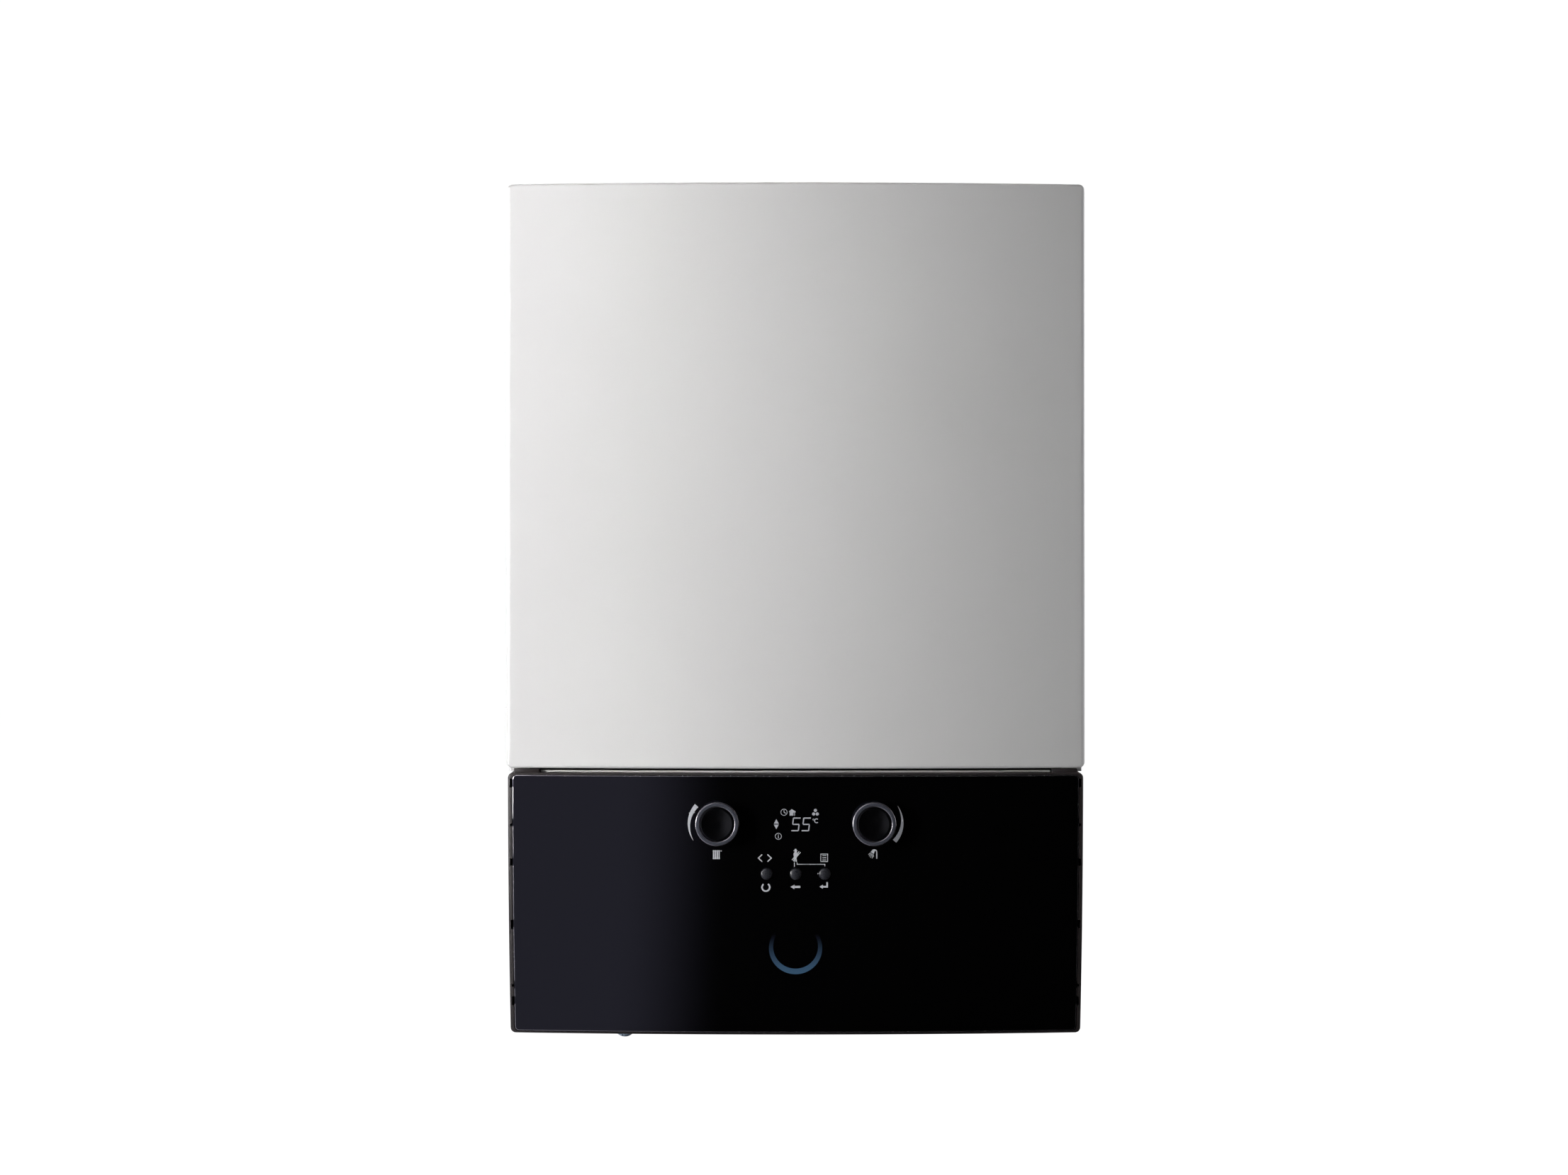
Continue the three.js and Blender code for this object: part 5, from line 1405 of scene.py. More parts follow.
def front_crossbar(zinc, black):
    """The folded bar behind the cover's foot, with a socket for each stud of the cover."""
    face = blank("crossbar_face", (-0.1841, CASE_FRONT, -0.106), (0.1841, CASE_FRONT + 0.0012, -0.078))
    join_solid(
        face, blank("ledge", (-0.1841, CASE_FRONT, -0.106), (0.1841, CASE_FRONT + 0.002, -0.1048)),
        blank("leg", (-0.1971, CASE_FRONT + 0.0013, -0.106), (0.1971, -0.215, -0.1048)),
    )
    for name, side in SIDES:
        bore(face, "y", (side * STUD_X, 0, STUD_Z), 0.0034, -0.24, -0.23)
    for x in (-0.11, -0.0367, 0.0367, 0.11):
        slot = blank("slot", (x - 0.014, -0.25, -0.0945), (x + 0.014, -0.22, -0.0885))
        round_corners(slot, 0.0029, 5)
        carve(face, slot)
    round_edges(face, 0.0003, 2, 60)
    finished(face, zinc, "front_crossbar", angle=30)
    for name, side in SIDES:
        finished(collar(
            f"stud_socket_{name}", "y", (side * STUD_X, 0, STUD_Z), 0.006, 0.0034, CASE_FRONT + 0.0012, -0.226,
            0.0006, 48,
        ), black)


def casing_seal(rubber):
    """The soft sealing strip round the casing's mouth."""
    strip = blank("seal_strip", (-0.196, -0.2413, -0.1045), (0.196, -0.2363, 0.291))
    opening = blank("seal_opening", (-0.187, -0.25, -0.0955), (0.187, -0.23, 0.282))
    for block in (strip, opening):
        round_corners(block, 0.003)
    carve(strip, opening)
    pick_sharp(strip, lambda spot: spot.y < -0.241)
    bevel(0.0021, 4)
    finished(strip, rubber, "casing_seal", angle=30)


def filling_tap(blue, brass):
    """The filling valve and its blue knob, whose dome shows under the control panel."""
    body = turned("filling_valve_body", "z", TAP, millimetres(
        (3, -288.8), (3, -283.8), (7.2, -283.8), (7.8, -283.2), (7.8, -256), (7, -255.2), (7, -249),
        (8, -248.2), (8, -241), (7.2, -240),
    ), 64)
    nut = hexagon("filling_valve_nut", "z", TAP, 0.0135, -0.2780, -0.2700)
    arm = collar("filling_valve_arm", "y", (-0.126, 0, -0.252), 0.006, 0, -0.150, -0.1184, 0.0005, 48)
    finished(weld(body, nut, arm), brass, "filling_valve")
    knob = turned("filling_tap_knob", "z", TAP, millimetres(
        (0.6, -306), (2, -305.85), (3.4, -305.3), (5.2, -304.2), (6.7, -302.8), (8, -300.2), (8.6, -298.2),
        (9, -295.5), (9, -285.6), (8.6, -284.3), (3.4, -284.1), (3.4, -288.5),
    ), 72)
    flute(knob, "z", TAP, 18, 0.95, -0.2985, -0.2850)
    finished(knob, blue, "filling_knob", body="filling_tap", angle=40)


def condensate_trap(grey, black):
    """The siphon with its screwed cup and drain spigot, and the hose that drains into it."""
    body = turned("siphon_body", "z", TRAP, millimetres(
        (9, -303), (10, -302.2), (10, -292.5), (17, -291.5), (18, -290.5), (18, -270), (17.4, -269),
        (16.2, -268.8), (16.2, -153), (17.4, -152.6), (18, -151.5), (18, -147.5), (17.2, -146.3),
        (12.2, -139), (12, -138), (12, -127.5), (11.2, -126.5),
    ), 80)
    flute(body, "z", TRAP, 20, 0.96, -0.2908, -0.2698)
    finished(body, grey, "condensate_siphon")
    hose = tube("condensate_hose", [
        (*TRAP[:2], -0.1262), (*TRAP[:2], -0.015), (-0.140, -0.0904, 0.027), (0, DRAIN_Y, 0.031),
        (0, DRAIN_Y, 0.0497),
    ], 0.007, 0.020, 32)
    finished(hose, black, "condensate_pipe")
    for name, spot, start in (("low", TRAP, -0.1262), ("high", (0, DRAIN_Y, 0), 0.0405)):
        clip = collar(f"hose_clip_{name}", "z", spot, 0.0084, 0.0066, start, start + 0.008, 0.0004, 48)
        finished(clip, grey)


# ---------- inside: burner side ----------

def union_nut(name, spot, across, start, end, metal):
    """A hexagon nut on an upright pipe."""
    finished(hexagon(name, "z", spot, across, start, end), metal, angle=25)


def vessel(red, brass, black):
    """The expansion vessel: two deep-drawn halves, a rolled seam, a charging valve and its water connection."""
    half = [(0.118, 0.0340), (0.1262, 0.0334), (0.1322, 0.0308), (0.1372, 0.0262), (0.1425, 0.0205),
            (0.1462, 0.0148), (0.1488, 0.0092), (0.1499, 0.0040), (0.1500, 0.0024), (0.1524, 0.0020),
            (0.1530, 0.0014)]
    middle = -0.0358
    profile = [(r, middle + reach) for r, reach in half] + [(r, middle - reach) for r, reach in reversed(half)]
    shell = turned("vessel_shell", "y", (0, 0, 0.110), profile, 128)
    dimple = turned("dimple", "y", VESSEL_VALVE, millimetres((9, -72), (9, -69), (7.5, -68.2)), 48)
    carve(shell, dimple)
    finished(shell, red, "expansion_vessel", angle=30)
    spigot = collar("vessel_spigot", "z", (0, middle, 0), 0.006, 0.0042, -0.0530, -0.0400, 0.0005, 48)
    nut = hexagon("vessel_nut", "z", (0, middle, 0), 0.019, -0.0505, -0.0425)
    finished(weld(spigot, nut), brass)
    valve = turned("vessel_valve", "y", VESSEL_VALVE, millimetres(
        (4.5, -68.5), (4.5, -70.5), (3, -70.8), (3, -74),
    ), 32)
    finished(valve, brass)
    cap = turned("vessel_valve_cap", "y", VESSEL_VALVE, millimetres(
        (3.8, -72.2), (4, -72.6), (4, -78.6), (3.4, -79.6), (1, -79.9),
    ), 36)
    flute(cap, "y", VESSEL_VALVE, 9, 0.93, -0.0788, -0.0720)
    finished(cap, black)


def opposite(outline):
    """The mirror image of an outline, in the reverse order."""
    return [(-x, y) for x, y in reversed(outline)]


def exchanger_bridge(zinc, steel):
    """The folded bridge that holds the heat exchanger off the back, over the vessel."""
    leg, foot, sheet, back, front = 0.163, 0.185, 0.002, -0.0018, -0.0721
    right = [(foot, back), (foot, back - sheet), (leg + sheet, back - sheet), (leg + sheet, front)]
    inner = [(leg, front + sheet), (leg, back)]
    section = right + opposite(right) + opposite(inner) + inner
    plate = drawn("bridge_sheet", "z", section, 0.120, 0.180)
    round_corners(plate, 0.0025, 4, lambda spot: abs(spot.x) > 0.164 and spot.y < -0.072, "z")
    round_corners(plate, 0.004, 4, lambda spot: abs(spot.x) > 0.184)
    slots = [eased("slot", (x - 0.014, -0.08, z - 0.004), (x + 0.014, -0.06, z + 0.004), 0.0035, 4)
             for x in (-0.120, 0.120) for z in (0.136, 0.164)]
    carve(plate, *slots)
    finished(plate, zinc, "exchanger_bridge", angle=30)
    spots = [(x, -0.0038, z) for x in (-0.176, 0.176) for z in (0.134, 0.166)]
    screws("bridge_screw", steel, "y", spots, 0.0040, -1, 0.5)


def exchanger(cast, brass):
    """The heat exchanger's ribbed housing with its flue spigot, two water ports and drain."""
    centre, flue = (0, 0, BURNER_Z), (0, FLUE_Y, 0)
    profile = [(0.0825, -0.0724), (0.0843, -0.0735), (0.0850, -0.0755), (0.0850, -0.0775), (0.0838, -0.0785)]
    for rib in (0.1000, 0.1210, 0.1420, 0.1630):
        profile += [
            (0.0838, 0.0025 - rib), (0.0849, 0.0012 - rib),
            (0.0849, -0.0012 - rib), (0.0838, -0.0025 - rib),
        ]
    profile += [(0.0838, -0.1780), (0.0850, -0.1790), (0.0850, -0.1855), (0.0846, -0.1860)]
    shell = turned("exchanger_shell", "y", centre, profile, 96)
    spigot = turned("flue_spigot", "z", flue, millimetres(
        (33, 200), (33, 240.5), (32.2, 241.5), (32.2, 243.5), (33, 244.5), (33, 246.5), (32.5, 247),
    ), 72)
    ports = [turned("port", "z", (x, PIPE_Y, 0), millimetres((10.5, 55), (11, 55.5), (11, 92)), 40)
             for x in (-0.045, 0.045)]
    drain = turned("drain", "z", (0, DRAIN_Y, 0), millimetres((11.4, 50), (12, 50.6), (12, 78)), 40)
    join_solid(shell, spigot, *ports, drain)
    bore(shell, "y", centre, 0.0820, -0.0754, -0.20, 96)
    bore(shell, "z", flue, 0.0304, 0.20, 0.26, 72)
    bore(shell, "z", (0, DRAIN_Y, 0), 0.009, 0.04, 0.08, 40)
    finished(shell, cast, "heat_exchanger_housing", angle=30)
    for name, x in (("flow", -0.045), ("return", 0.045)):
        union_nut(f"exchanger_{name}_nut", (x, PIPE_Y, 0), 0.027, 0.0560, 0.0680, brass)


def burner_door(cast, steel, brass, black):
    """The cast door over the burner: its boss, ribs, four nuts on studs and a sight glass."""
    centre = (0, 0, BURNER_Z)
    door = turned("door_plate", "y", centre, millimetres(
        (87.2, -186.3), (88, -187.1), (88, -192.8), (87.2, -194), (85.8, -194.3), (69, -194.3), (68, -194),
        (67, -193.2), (30, -193.2), (24, -194.3), (19.5, -195.8), (18.2, -197), (18, -198.8), (17.4, -199.3),
    ), 96)
    ribs = []
    for turn in (0, 45, 90, 135, 180, 225, 315):
        rib = blank("rib", (0.0170, -0.1956, -0.0016), (0.0685, -0.1900, 0.0016))
        round_corners(rib, 0.0008, 3, lambda spot: spot.y < -0.195, "x")
        ribs.append(placed(rib, (0, turn, 0), centre))
    join_solid(door, *ribs)
    bore(door, "y", centre, 0.0119, -0.21, -0.18)
    bore(door, "y", ELECTRODE, 0.0043, -0.21, -0.18, 32)
    finished(door, cast, "burner_door", angle=30)
    for i, spot in enumerate(around("y", centre, 0.080, (45, 135, 225, 315), 0)):
        stud = turned(f"door_stud_{i}", "y", spot, millimetres((2.5, -194.3), (2.5, -199), (2, -199.5)), 24)
        washer = collar(f"door_washer_{i}", "y", spot, 0.0062, 0, -0.1940, -0.1952, 0.0003, 32)
        nut = hexagon(f"door_nut_{i}", "y", spot, 0.0087, -0.1950, -0.1983)
        finished(weld(stud, washer, nut), steel)
    spot = (-0.040, 0, 0.173)
    finished(collar("sight_ring", "y", spot, 0.0085, 0.0058, -0.1930, -0.1966, 0.0006, 40), brass)
    finished(collar("sight_glass", "y", spot, 0.0059, 0, -0.1925, -0.1950, 0.0003, 40), black)


def electrode(ceramic, steel):
    """The ignition electrode: a ribbed ceramic body, its fixing plate, and its pin into the chamber."""
    profile = [(0.0039, -0.1805), (0.0040, -0.1815), (0.0040, -0.1945), (0.0031, -0.1955)]
    for ring in (0.1972, 0.1995, 0.2018):
        profile += [
            (0.0031, 0.0008 - ring), (0.0038, 0.0003 - ring),
            (0.0038, -0.0003 - ring), (0.0031, -0.0008 - ring),
        ]
    body = turned("electrode_body", "y", ELECTRODE, profile + [(0.0031, -0.2050), (0.0027, -0.2056)], 40)
    finished(body, ceramic, "ignition_electrode")
    finished(collar("electrode_pin", "y", ELECTRODE, 0.0013, 0, -0.1810, -0.1523, 0.0002, 20), steel)
    finished(collar("electrode_terminal", "y", ELECTRODE, 0.0019, 0, -0.2050, -0.2103, 0.0004, 24), steel)
    plate = blank("electrode_plate", (-0.012, -0.1958, 0.0935), (0.012, -0.1945, 0.1025))
    round_corners(plate, 0.003)
    bore(plate, "y", ELECTRODE, 0.0042, -0.21, -0.18, 32)
    finished(plate, steel)
    spots = [(x, -0.1958, ELECTRODE[2]) for x in (-0.0085, 0.0085)]
    screws("electrode_screw", steel, "y", spots, 0.0022, -1, 0.6)


def mixture_elbow(cast, steel):
    """The cast bend that leads the mixture from the fan to the burner, with a flange at each end."""
    centre, level = (0, 0, BURNER_Z), (0, THROAT_Y, BURNER_Z)
    path = []
    for i in range(13):
        turn = math.radians(i * 7.5)
        path.append((0.014 - 0.014 * math.cos(turn), -0.1996 - 0.014 * math.sin(turn), BURNER_Z))
    bend = swept("elbow_pipe", path + [(0.050, *level[1:]), (0.0957, *level[1:])], 0.012, 48)
    low = collar("elbow_flange", "y", centre, 0.0172, 0, -0.1996, -0.2026, 0.0006, 64)
    high = collar("elbow_collar", "x", level, 0.0148, 0, 0.0907, 0.0957, 0.0006, 64)
    ring = collar("elbow_ring", "x", level, 0.0132, 0, 0.046, 0.052, 0.0008, 64)
    finished(weld(bend, low, high, ring), cast, "mixture_elbow")
    screws("elbow_screw", steel, "y", around("y", centre, 0.0150, (120, 240), -0.2026), 0.0019, -1, 0.6)


def fan(cast, black, steel, grey):
    """The fan's housing with its outlet, its motor above and the air mixer below."""
    house = turned("fan_scroll", "z", FAN, millimetres(
        (44, 132), (45.6, 132.7), (46, 134.5), (46, 147.8), (47.4, 148.4), (47.4, 151.6), (46, 152.2),
        (46, 165.5), (45.6, 167.3), (44, 168),
    ), 80)
    join_solid(house, eased("outlet", (0.0960, -0.2286, 0.135), (0.140, -0.1986, 0.165), 0.002))
    for radius, start, end, sides in (
        (0.0430, 0.135, 0.165, 72), (0.018, 0.13, 0.137, 48), (0.0045, 0.163, 0.17, 32),
    ):
        bore(house, "z", FAN, radius, start, end, sides)
    bore(house, "x", (0, THROAT_Y, BURNER_Z), 0.0119, 0.094, 0.130, 40)
    finished(house, cast, "fan_housing", angle=30)
    screws("fan_screw", steel, "z", around("z", FAN, 0.0385, range(20, 360, 60), 0.168), 0.0026, 1, 0.6)
    motor = turned("fan_motor_can", "z", FAN, millimetres(
        (29.4, 168.3), (30, 168.9), (30, 174), (29.2, 174.4), (29.2, 190), (30, 190.4), (30, 195),
        (29.6, 196.6), (26.6, 201.3), (25.4, 202.1), (13, 203.6), (12, 204.3),
    ), 96)
    flute(motor, "z", FAN, 16, 0.965, 0.1743, 0.1901)
    bore(motor, "z", FAN, 0.0045, 0.16, 0.1795, 32)
    plug = eased("fan_plug", (0.131, -0.2150, 0.176), (0.149, -0.2080, 0.190), 0.0008, 2)
    finished(weld(motor, plug), black, "fan_motor", angle=30)
    mixer = turned("mixer_body", "z", FAN, millimetres(
        (21.4, 71.7), (22, 72.3), (22, 83.2), (21.6, 84), (19.2, 89.3), (19, 90), (19, 100), (19.8, 100.6),
        (19.8, 103.4), (19, 104), (19, 119), (19.2, 120), (22.6, 125.1), (23, 126), (23, 131.2),
        (22.5, 131.7),
    ), 64)
    carve(mixer, turned("mixer_bore", "z", FAN, millimetres(
        (17, 70.7), (16.8, 72), (13.8, 83), (12, 91.7), (12, 107.7), (16, 132.7),
    ), 64))
    finished(mixer, grey, "air_mixer", angle=30)


def gas_train(cast, black, steel, brass, copper):
    """The gas valve with its coil and connector, and the gas pipe up to it."""
    body = eased("gas_valve_body", (0.112, -0.150, 0.0307), (0.168, -0.102, 0.1057), 0.003, 4)
    cover = eased("gas_valve_cover", (0.1155, -0.1512, 0.036), (0.1645, -0.1480, 0.082), 0.0010, 2)
    nozzle = turned("gas_nozzle", "y", (0.140, 0, 0.0967), millimetres((8, -148), (8, -160), (7.5, -160.6)), 40)
    foot = hexagon("gas_inlet", "z", (0.140, -0.125, 0), 0.0215, 0.0177, 0.0310)
    finished(weld(body, cover, nozzle, foot), cast, "gas_valve", angle=30)
    screws("gas_valve_screw", steel, "y", [
        (x, -0.1512, z) for x in (0.1195, 0.1605) for z in (0.040, 0.078)], 0.0022, -1, 0.6)
    for i, x in enumerate((0.130, 0.150)):
        finished(turned(f"test_nipple_{i}", "y", (x, 0, 0.059), millimetres(
            (4, -150.8), (4, -153), (2.6, -153.4), (2.6, -156.2), (2, -156.6),
        ), 32), brass)
    coil = turned("gas_coil", "z", (0.148, -0.126, 0), millimetres(
        (14, 105), (14, 118), (13.6, 119.2), (12.4, 119.7), (5, 119.7), (4.4, 119),
    ), 64)
    plug = eased("gas_plug", (0.1165, -0.136, 0.1050), (0.1325, -0.116, 0.1150), 0.001, 2)
    finished(weld(coil, plug), black, angle=30)
    pipe = tube("gas_tube", [
        (0, PIPE_Y, -0.276), (0, PIPE_Y, -0.259), (0, -0.060, -0.235),
        (0, -0.060, -0.075), (0.140, -0.060, -0.060),
        (0.140, -0.125, -0.022), (0.140, -0.125, 0.0174),
    ], 0.0075, 0.020, 40)
    finished(pipe, copper, "gas_pipe")
    union_nut("gas_union", (0.140, -0.125, 0), 0.024, 0.0040, 0.0165, brass)


# ---------- inside: water side ----------

def water_pipes(copper, brass):
    """The copper flow and return pipes with their union nuts."""
    flow = tube("flow_tube", [
        (-0.045, PIPE_Y, 0.0547), (-0.045, PIPE_Y, -0.005),
        (-0.065, PIPE_Y, -0.055), (-0.065, PIPE_Y, -0.1197),
    ], 0.009, 0.022, 40)
    finished(flow, copper, "flow_pipe")
    back = tube("return_tube", [
        (0.108, PIPE_Y, -0.1347), (0.108, PIPE_Y, -0.067), (0.045, PIPE_Y, -0.040), (0.045, PIPE_Y, 0.0547),
    ], 0.009, 0.022, 40)
    finished(back, copper, "return_pipe")
    for name, x, start in (("flow_low", -0.065, -0.1192), ("return_low", 0.108, -0.1342),
                           ("flow_high", -0.045, 0.0420), ("return_high", 0.045, 0.0420)):
        union_nut(f"{name}_union", (x, PIPE_Y, 0), 0.0235, start, start + 0.0120, brass)


def flow_block(brass):
    """The forged flow block with its bridge to the diverter's riser and its two legs."""
    body = eased("flow_forging", (-0.080, -0.1244, -0.215), (-0.050, -0.085, -0.120), 0.003, 4)
    bridge = eased("bridge", (-0.132, -0.119, -0.205), (-0.065, -0.091, -0.165), 0.003, 4)
    riser = turned("riser", "z", (RISER_X, PIPE_Y, 0), millimetres(
        (16, -208), (16, -130), (15, -129), (15, -108),
    ), 56)
    head = hexagon("riser_head", "z", (RISER_X, PIPE_Y, 0), 0.0300, -0.1090, -0.0950)
    legs = [turned("leg", "z", (x, PIPE_Y, 0), [
        (r - 0.0006, -0.2747), (r, -0.2741), (r, -0.2600), (r - 0.001, -0.2592),
        (r - 0.001, -0.2100), (r, -0.2080),
        (r, -0.2000),
    ], 56) for x, r in ((RISER_X, 0.013), (-0.065, 0.011))]
    boss = turned("boss", "y", (-0.065, 0, -0.1385), millimetres(
        (10.5, -120), (10.5, -124.4), (10, -124.6),
    ), 48)
    finished(weld(body, bridge, riser, head, boss, *legs), brass, "flow_block", angle=30)


def return_block(brass):
    """The forged return block with its leg and its link to the pump."""
    body = eased("return_forging", (0.050, -0.1244, -0.215), (0.080, -0.085, -0.120), 0.003, 4)
    leg = turned("leg", "z", (0.065, PIPE_Y, 0), millimetres(
        (10.4, -274.7), (11, -274.1), (11, -260), (10, -259.2), (10, -214), (11, -213), (11, -210),
    ), 56)
    link = collar("link", "x", (0, PIPE_Y, PUMP_Z), 0.009, 0, 0.078, 0.0917, 0.0004, 48)
    nut = hexagon("link_nut", "x", (0, PIPE_Y, PUMP_Z), 0.0225, 0.0805, 0.0905)
    finished(weld(body, leg, link, nut), brass, "return_block", angle=30)


def plate_exchanger(steel):
    """The brazed plate heat exchanger: a stack of pressed plates between two cover plates."""
    back, front, count = -0.1247, -0.1707, 14
    pitch = (back - front) / count
    stack = []
    for i in range(count):
        place = back - pitch * i
        ease = 0 if i in (0, count - 1) else 0.0006
        plate = blank(f"plate_{i}", (-0.078 + ease, place - pitch * 0.82, -0.205 + ease),
                      (0.078 - ease, place, -0.130 - ease))
        round_corners(plate, 0.009, 5)
        round_edges(plate, 0.0007, 2, 60)
        stack.append(plate)
    core = blank("core", (-0.0755, front + 0.001, -0.2025), (0.0755, back - 0.001, -0.1325))
    round_corners(core, 0.008, 5)
    stamps = [turned("stamp", "y", (x, 0, z), [
        (0.0125, front + 0.0018), (0.0125, front + 0.0004), (0.0118, front), (0.0095, front),
        (0.0090, front + 0.0006),
    ], 48) for x in (-0.058, 0.058) for z in (-0.186, -0.149)]
    finished(weld(stack[0], core, *stack[1:], *stamps), steel, "plate_heat_exchanger", angle=30)


def pump(cast, black, steel):
    """The pump's housing with its three ports, and its motor in front."""
    axis = (0.130, 0, PUMP_Z)
    body = turned("pump_volute", "y", axis, millimetres(
        (35, -85), (37.2, -85.8), (38, -88), (38, -118), (37.2, -119), (37.2, -121), (38, -121.8),
        (38, -124.4), (37.4, -125),
    ), 80)
    inlet = turned("inlet", "z", (0.130, PIPE_Y, 0), millimetres(
        (12.4, -274.7), (13, -274.1), (13, -260), (12, -259.2), (12, -230), (14.5, -218), (14.5, -210),
    ), 56)
    outlet = turned("outlet", "z", (0.108, PIPE_Y, 0), millimetres(
        (12.5, -170), (12.5, -148), (12, -147), (12, -135.6), (11.5, -135),
    ), 56)
    boss = turned("boss", "z", (0.152, PIPE_Y, 0), millimetres(
        (12.5, -170), (12.5, -152), (12, -151), (12, -145.6), (11.5, -145),
    ), 56)
    join_solid(body, inlet, outlet, boss)
    bore(body, "y", axis, 0.0330, -0.121, -0.089, 64)
    bore(body, "y", axis, 0.020, -0.127, -0.119)
    finished(body, cast, "pump_body", angle=30)
    motor = turned("pump_motor_can", "y", axis, millimetres(
        (39.4, -125.3), (40, -125.9), (40, -131), (38.8, -131.8), (38.8, -169), (40, -169.8), (40, -175.2),
        (39.2, -177.5), (35.2, -180.6), (34, -181.1), (30, -181.3), (29, -181), (13, -180.6), (12, -181.2),
    ), 120)
    flute(motor, "y", axis, 20, 0.965, -0.1691, -0.1317)
    bore(motor, "y", axis, 0.0050, -0.1375, -0.12, 32)
    box = eased("pump_terminal", (0.0815, -0.170, -0.203), (0.0945, -0.138, -0.170), 0.0015, 3)
    finished(weld(motor, box), black, "pump_motor", angle=30)
    plug = turned("pump_plug", "y", axis, millimetres((8.5, -180.4), (8.5, -181.1), (8, -181.3)), 48)
    carve(plug, blank("slot", (0.1230, -0.19, -0.1857), (0.1370, -0.1809, -0.1843)))
    finished(plug, steel)


def fittings(brass, black, steel, red_knob):
    """Air vent, diverter motor, safety valve with its knob, and pressure sensor."""
    spot = (0.152, PIPE_Y, 0)
    vent = turned("air_vent_body", "z", spot, millimetres(
        (10.4, -144.7), (11, -144.1), (11, -139), (10.4, -138.4), (10.4, -117), (11, -116.4), (11, -111.5),
        (10.6, -110.7), (7.2, -107), (7, -106),
    ), 56)
    nut = hexagon("vent_nut", "z", spot, 0.0215, -0.1440, -0.1385)
    finished(weld(vent, nut), brass, "auto_air_vent")
    cap = turned("air_vent_cap", "z", spot, millimetres(
        (6.8, -106.2), (7, -105.8), (7, -98), (6.4, -97), (2, -96.7),
    ), 48)
    flute(cap, "z", spot, 12, 0.94, -0.1059, -0.0979)
    finished(cap, black)

    motor = eased("diverter_case", (-0.152, -0.127, -0.0947), (-0.108, -0.083, -0.0567), 0.003, 4)
    band = eased("diverter_band", (-0.1528, -0.1278, -0.0790), (-0.1072, -0.0822, -0.0765), 0.0006, 2)
    cap = turned("diverter_cap", "z", (RISER_X, PIPE_Y, 0), millimetres(
        (9, -57), (9, -50), (8.4, -48.9), (3, -48.7),
    ), 48)
    plug = eased("diverter_plug", (-0.138, -0.1335, -0.0900), (-0.122, -0.1265, -0.0810), 0.0008, 2)
    finished(weld(motor, band, cap, plug), black, "diverter_motor", angle=30)
    screws("diverter_screw", steel, "z", [
        (RISER_X + a, PIPE_Y + b, -0.0567) for a in (-0.017, 0.017) for b in (-0.017, 0.017)], 0.0022, 1, 0.6)

    axis = (RISER_X, 0, PUMP_Z)
    valve = turned("safety_valve_body", "y", axis, millimetres(
        (11.4, -121.3), (12, -121.9), (12, -138), (11.4, -138.8), (11.4, -146), (12, -146.6), (12, -148.7),
        (11.4, -149.3), (3, -149.3), (3, -154.3),
    ), 56)
    nut = hexagon("safety_nut", "y", axis, 0.0235, -0.1222, -0.1300)
    outlet = turned("safety_outlet", "z", (RISER_X, -0.1353, 0), millimetres(
        (6, -217), (6.4, -216.6), (7, -213), (6, -212.8), (6, -211.2), (7, -209), (7, -190),
    ), 40)
    bore(outlet, "z", (RISER_X, -0.1353, 0), 0.0045, -0.218, -0.200, 32)
    finished(weld(valve, nut, outlet), brass, "safety_valve")
    knob = turned("safety_tap_knob", "y", axis, millimetres(
        (12.4, -149.6), (13, -150.2), (13, -161.2), (12.6, -162.8), (11.2, -164.8), (9.8, -165.6),
        (6, -165.6), (5.4, -165),
    ), 96)
    flute(knob, "y", axis, 8, 0.90, -0.1616, -0.1495)
    bore(knob, "y", axis, 0.0034, -0.1553, -0.148, 32)
    finished(knob, red_knob, "safety_valve_knob", body="safety_tap", angle=30)

    spot = (0.065, PIPE_Y, 0)
    finished(hexagon("sensor_hex", "z", spot, 0.0190, -0.1197, -0.1097), brass, "pressure_sensor")
    finished(turned("sensor_can", "z", spot, millimetres(
        (8.5, -109.9), (8.5, -99), (8, -98.4), (7, -98.2),
    ), 48), steel)
    finished(turned("sensor_plug", "z", spot, millimetres((7, -98.4), (7, -88.5), (6.4, -87.7)), 48), black)


def box_cover(black, steel):
    """The back cover of the control box: ribs, ventilation slots and its screws."""
    plate = blank("box_cover_plate", (-0.1872, -0.1920, -0.2832), (0.1872, -0.1904, -0.1188))
    round_corners(plate, 0.002, 3)
    slots = []
    for x in (start + 0.010 * i for start in (-0.150, 0.070) for i in range(9)):
        slots.append(eased("slot", (x - 0.0015, -0.20, -0.168), (x + 0.0015, -0.18, -0.136), 0.0012, 3))
    carve(plate, *slots)
    ribs = [blank("rib", (-0.170, -0.1906, z - 0.0008), (0.170, -0.1890, z + 0.0008))
            for z in (-0.190, -0.215, -0.240)]
    finished(weld(plate, *ribs), black, "control_box_cover", body="control_panel", angle=30)
    spots = [(x, -0.1904, z) for x in (-0.180, 0, 0.180) for z in (-0.276, -0.126)]
    screws("box_cover_screw", steel, "y", spots, 0.0028, 1, 0.5, body="control_panel")


# ---------- the whole boiler ----------

set_camera()
set_studio()

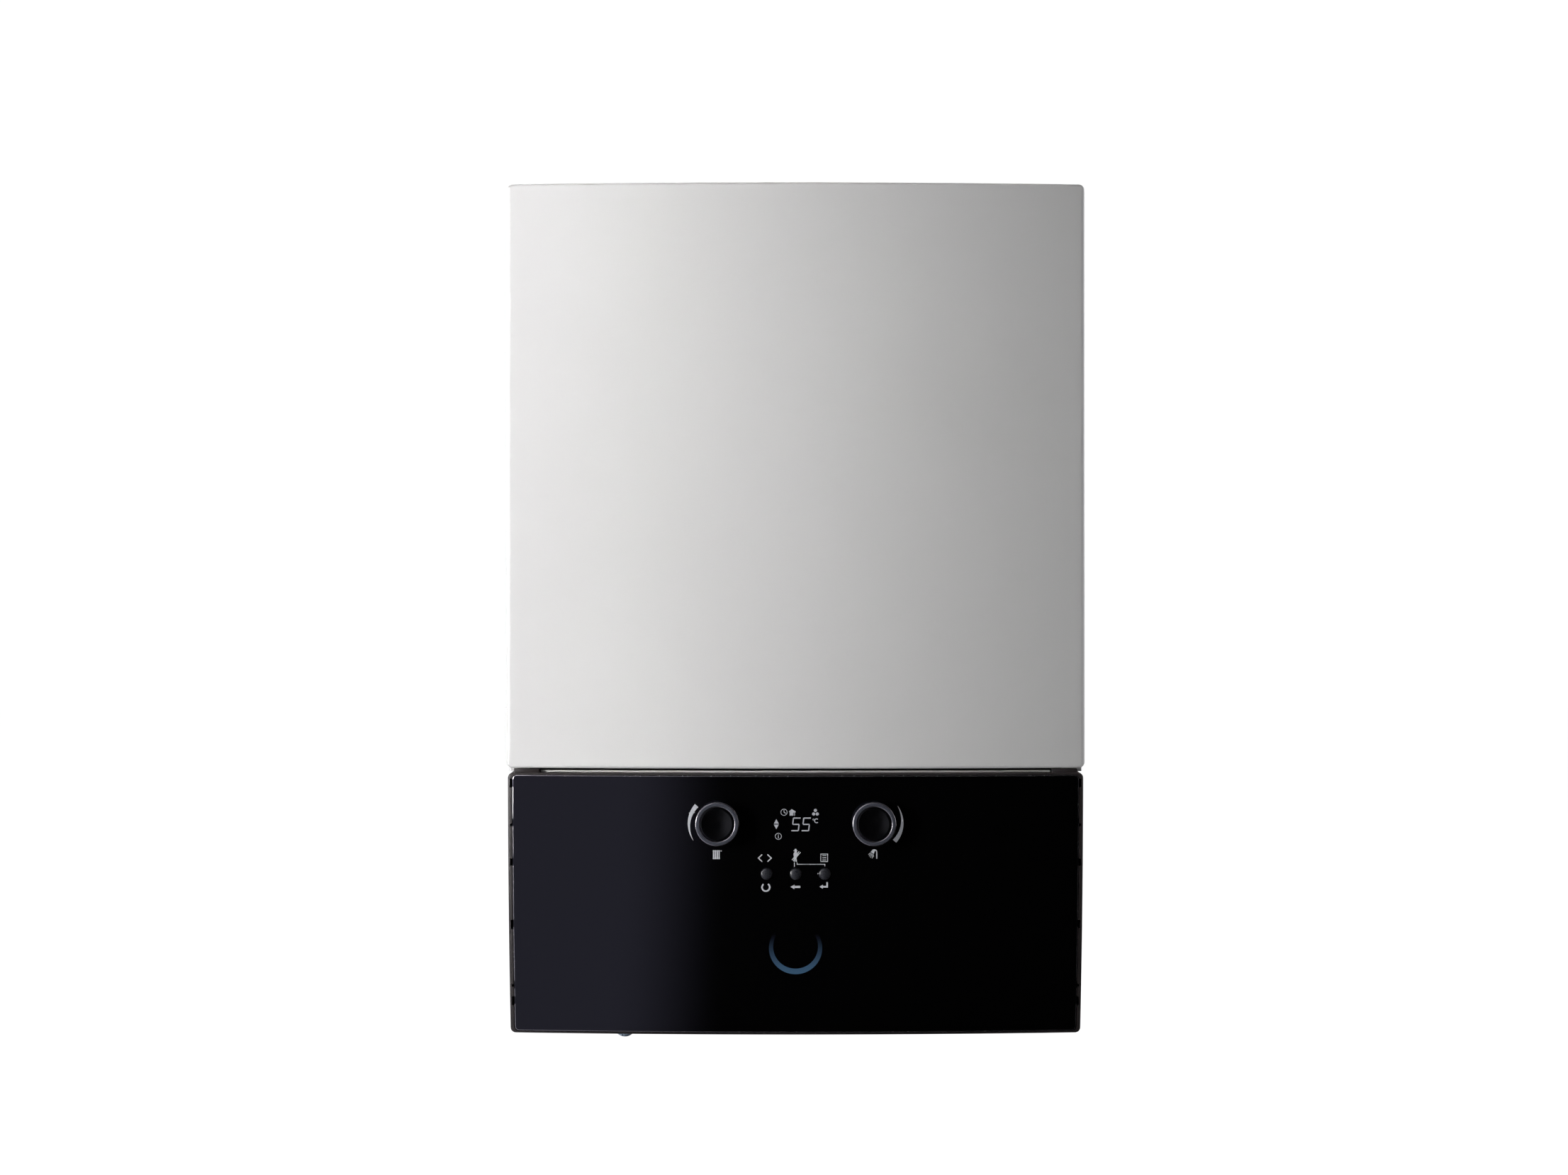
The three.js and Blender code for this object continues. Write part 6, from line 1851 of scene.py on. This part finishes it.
white = white_powder_coat()
gloss = gloss_black()
dark = dark_moulding()
graphite = Finish(
    "satin_graphite", (0.075, 0.080, 0.102), 0.36, 0.3,
    gloss=(700, 3, 0.28, 0.40), grain=(3200, 1, 0.00001, 0.3),
).material
black_face = Finish(
    "knob_black", (0.0015, 0.0015, 0.002), 0.16, gloss=(220, 3, 0.12, 0.21), grain=(1500, 1, 0.00001, 0.25),
).material
grey_key = Finish(
    "key_grey", (0.020, 0.021, 0.026), 0.30, gloss=(900, 2, 0.25, 0.36), grain=(2600, 1, 0.00001, 0.3),
).material
edge_highlight_finish = Finish(
    "painted_highlight_edge", (0.36, 0.34, 0.36), 0.24, 0.9, gloss=(900, 3, 0.16, 0.28), grain=(2400, 1, 0.00001, 0.2),
).material
ink = grey_print_painted_glow()
digits = lit_digits()
blue_light = status_glow()
zinc = galvanised()
steel = bright_steel()
cast = rough_metal(
    "cast_alloy", (0.36, 0.37, 0.385), 0.55, 0.9, (45, 4, 0.3, (0.30, 0.31, 0.32), (0.42, 0.43, 0.44)),
    (500, 3, 0.46, 0.66), (1100, 0.00008, 0.6),
)
brass = rough_metal(
    "forged_brass", (0.46, 0.30, 0.12), 0.38, 1.0, (60, 3, 0.3, (0.40, 0.26, 0.10), (0.54, 0.36, 0.15)),
    (700, 3, 0.30, 0.48), (1300, 0.00005, 0.5),
)
copper = Finish(
    "copper_tube", (0.66, 0.30, 0.17), 0.36, 0.9, tint=(28, 3, 0.3, (0.60, 0.26, 0.145), (0.70, 0.33, 0.19)),
    gloss=(60, 2, 0.33, 0.39), grain=(300, 1, 0.00001, 0.15),
).material
red = Finish(
    "red_enamel", (0.36, 0.022, 0.016), 0.30, tint=(14, 3, 0.3, (0.33, 0.019, 0.014), (0.40, 0.026, 0.019)),
    gloss=(120, 2, 0.34, 0.40), grain=(300, 1, 0.00002, 0.2),
).material
foam = grey_foam()
green = circuit_green()
rubber = moulded("black_rubber", (0.016, 0.016, 0.017), 0.72, 1500, 0.00004)
blue = moulded("blue_plastic", (0.58, 0.74, 0.92), 0.38)
grey = moulded("grey_plastic", (0.26, 0.28, 0.30), 0.46)
black = moulded("black_plastic", (0.020, 0.020, 0.022), 0.44)
pale = moulded("white_plastic", (0.78, 0.78, 0.76), 0.40)
ceramic = moulded("glazed_ceramic", (0.80, 0.77, 0.68), 0.22, 500, 0.00001)
red_knob = moulded("red_plastic", (0.45, 0.020, 0.015), 0.36)

cover_shell(white)
cover_studs(steel)
cover_foam(foam)
fascia(gloss, edge_highlight_finish)
panel_box(dark)
pale_seam_highlight(pale)
knob("heating_knob", -1, graphite, edge_highlight_finish, black_face, "heating_control")
knob("hot_water_knob", 1, graphite, edge_highlight_finish, black_face, "hot_water_control")
for name, x, body in (
    ("back_button", -KEY_PITCH, "back_key"), ("menu_button", 0, "menu_key"),
    ("enter_button", KEY_PITCH, "enter_key"),
):
    key(name, x, grey_key, body)
printed_signs(ink)
display_signs(digits)
status_crescent(blue_light)

for name, side in SIDES:
    side_panel(white, steel, name, side)
top_panel(white, steel)
back_frame(zinc)
wall_bracket(zinc)
bottom_tray(zinc, rubber, steel)
for name, _, x, radius in PIPE_ENDS:
    pipe_end(name, x, radius, brass)
flue_adapter(pale, black, steel, grey)
front_crossbar(zinc, black)
casing_seal(rubber)
filling_tap(blue, brass)
condensate_trap(grey, black)

vessel(red, brass, black)
exchanger_bridge(zinc, steel)
exchanger(cast, brass)
burner_door(cast, steel, brass, black)
electrode(ceramic, steel)
mixture_elbow(cast, steel)
fan(cast, black, steel, grey)
gas_train(cast, black, steel, brass, copper)
water_pipes(copper, brass)
flow_block(brass)
return_block(brass)
plate_exchanger(steel)
pump(cast, black, steel)
fittings(brass, black, steel, red_knob)
box_cover(black, steel)

for finish, nodes in (
    (grey, ("fan_impeller", "pump_impeller")),
    (steel, ("heat_exchanger_coil", "burner")),
    (black, ("lcd_display",)),
    (green, ("control_board",)),
):
    for node in nodes:
        dress(node, finish)
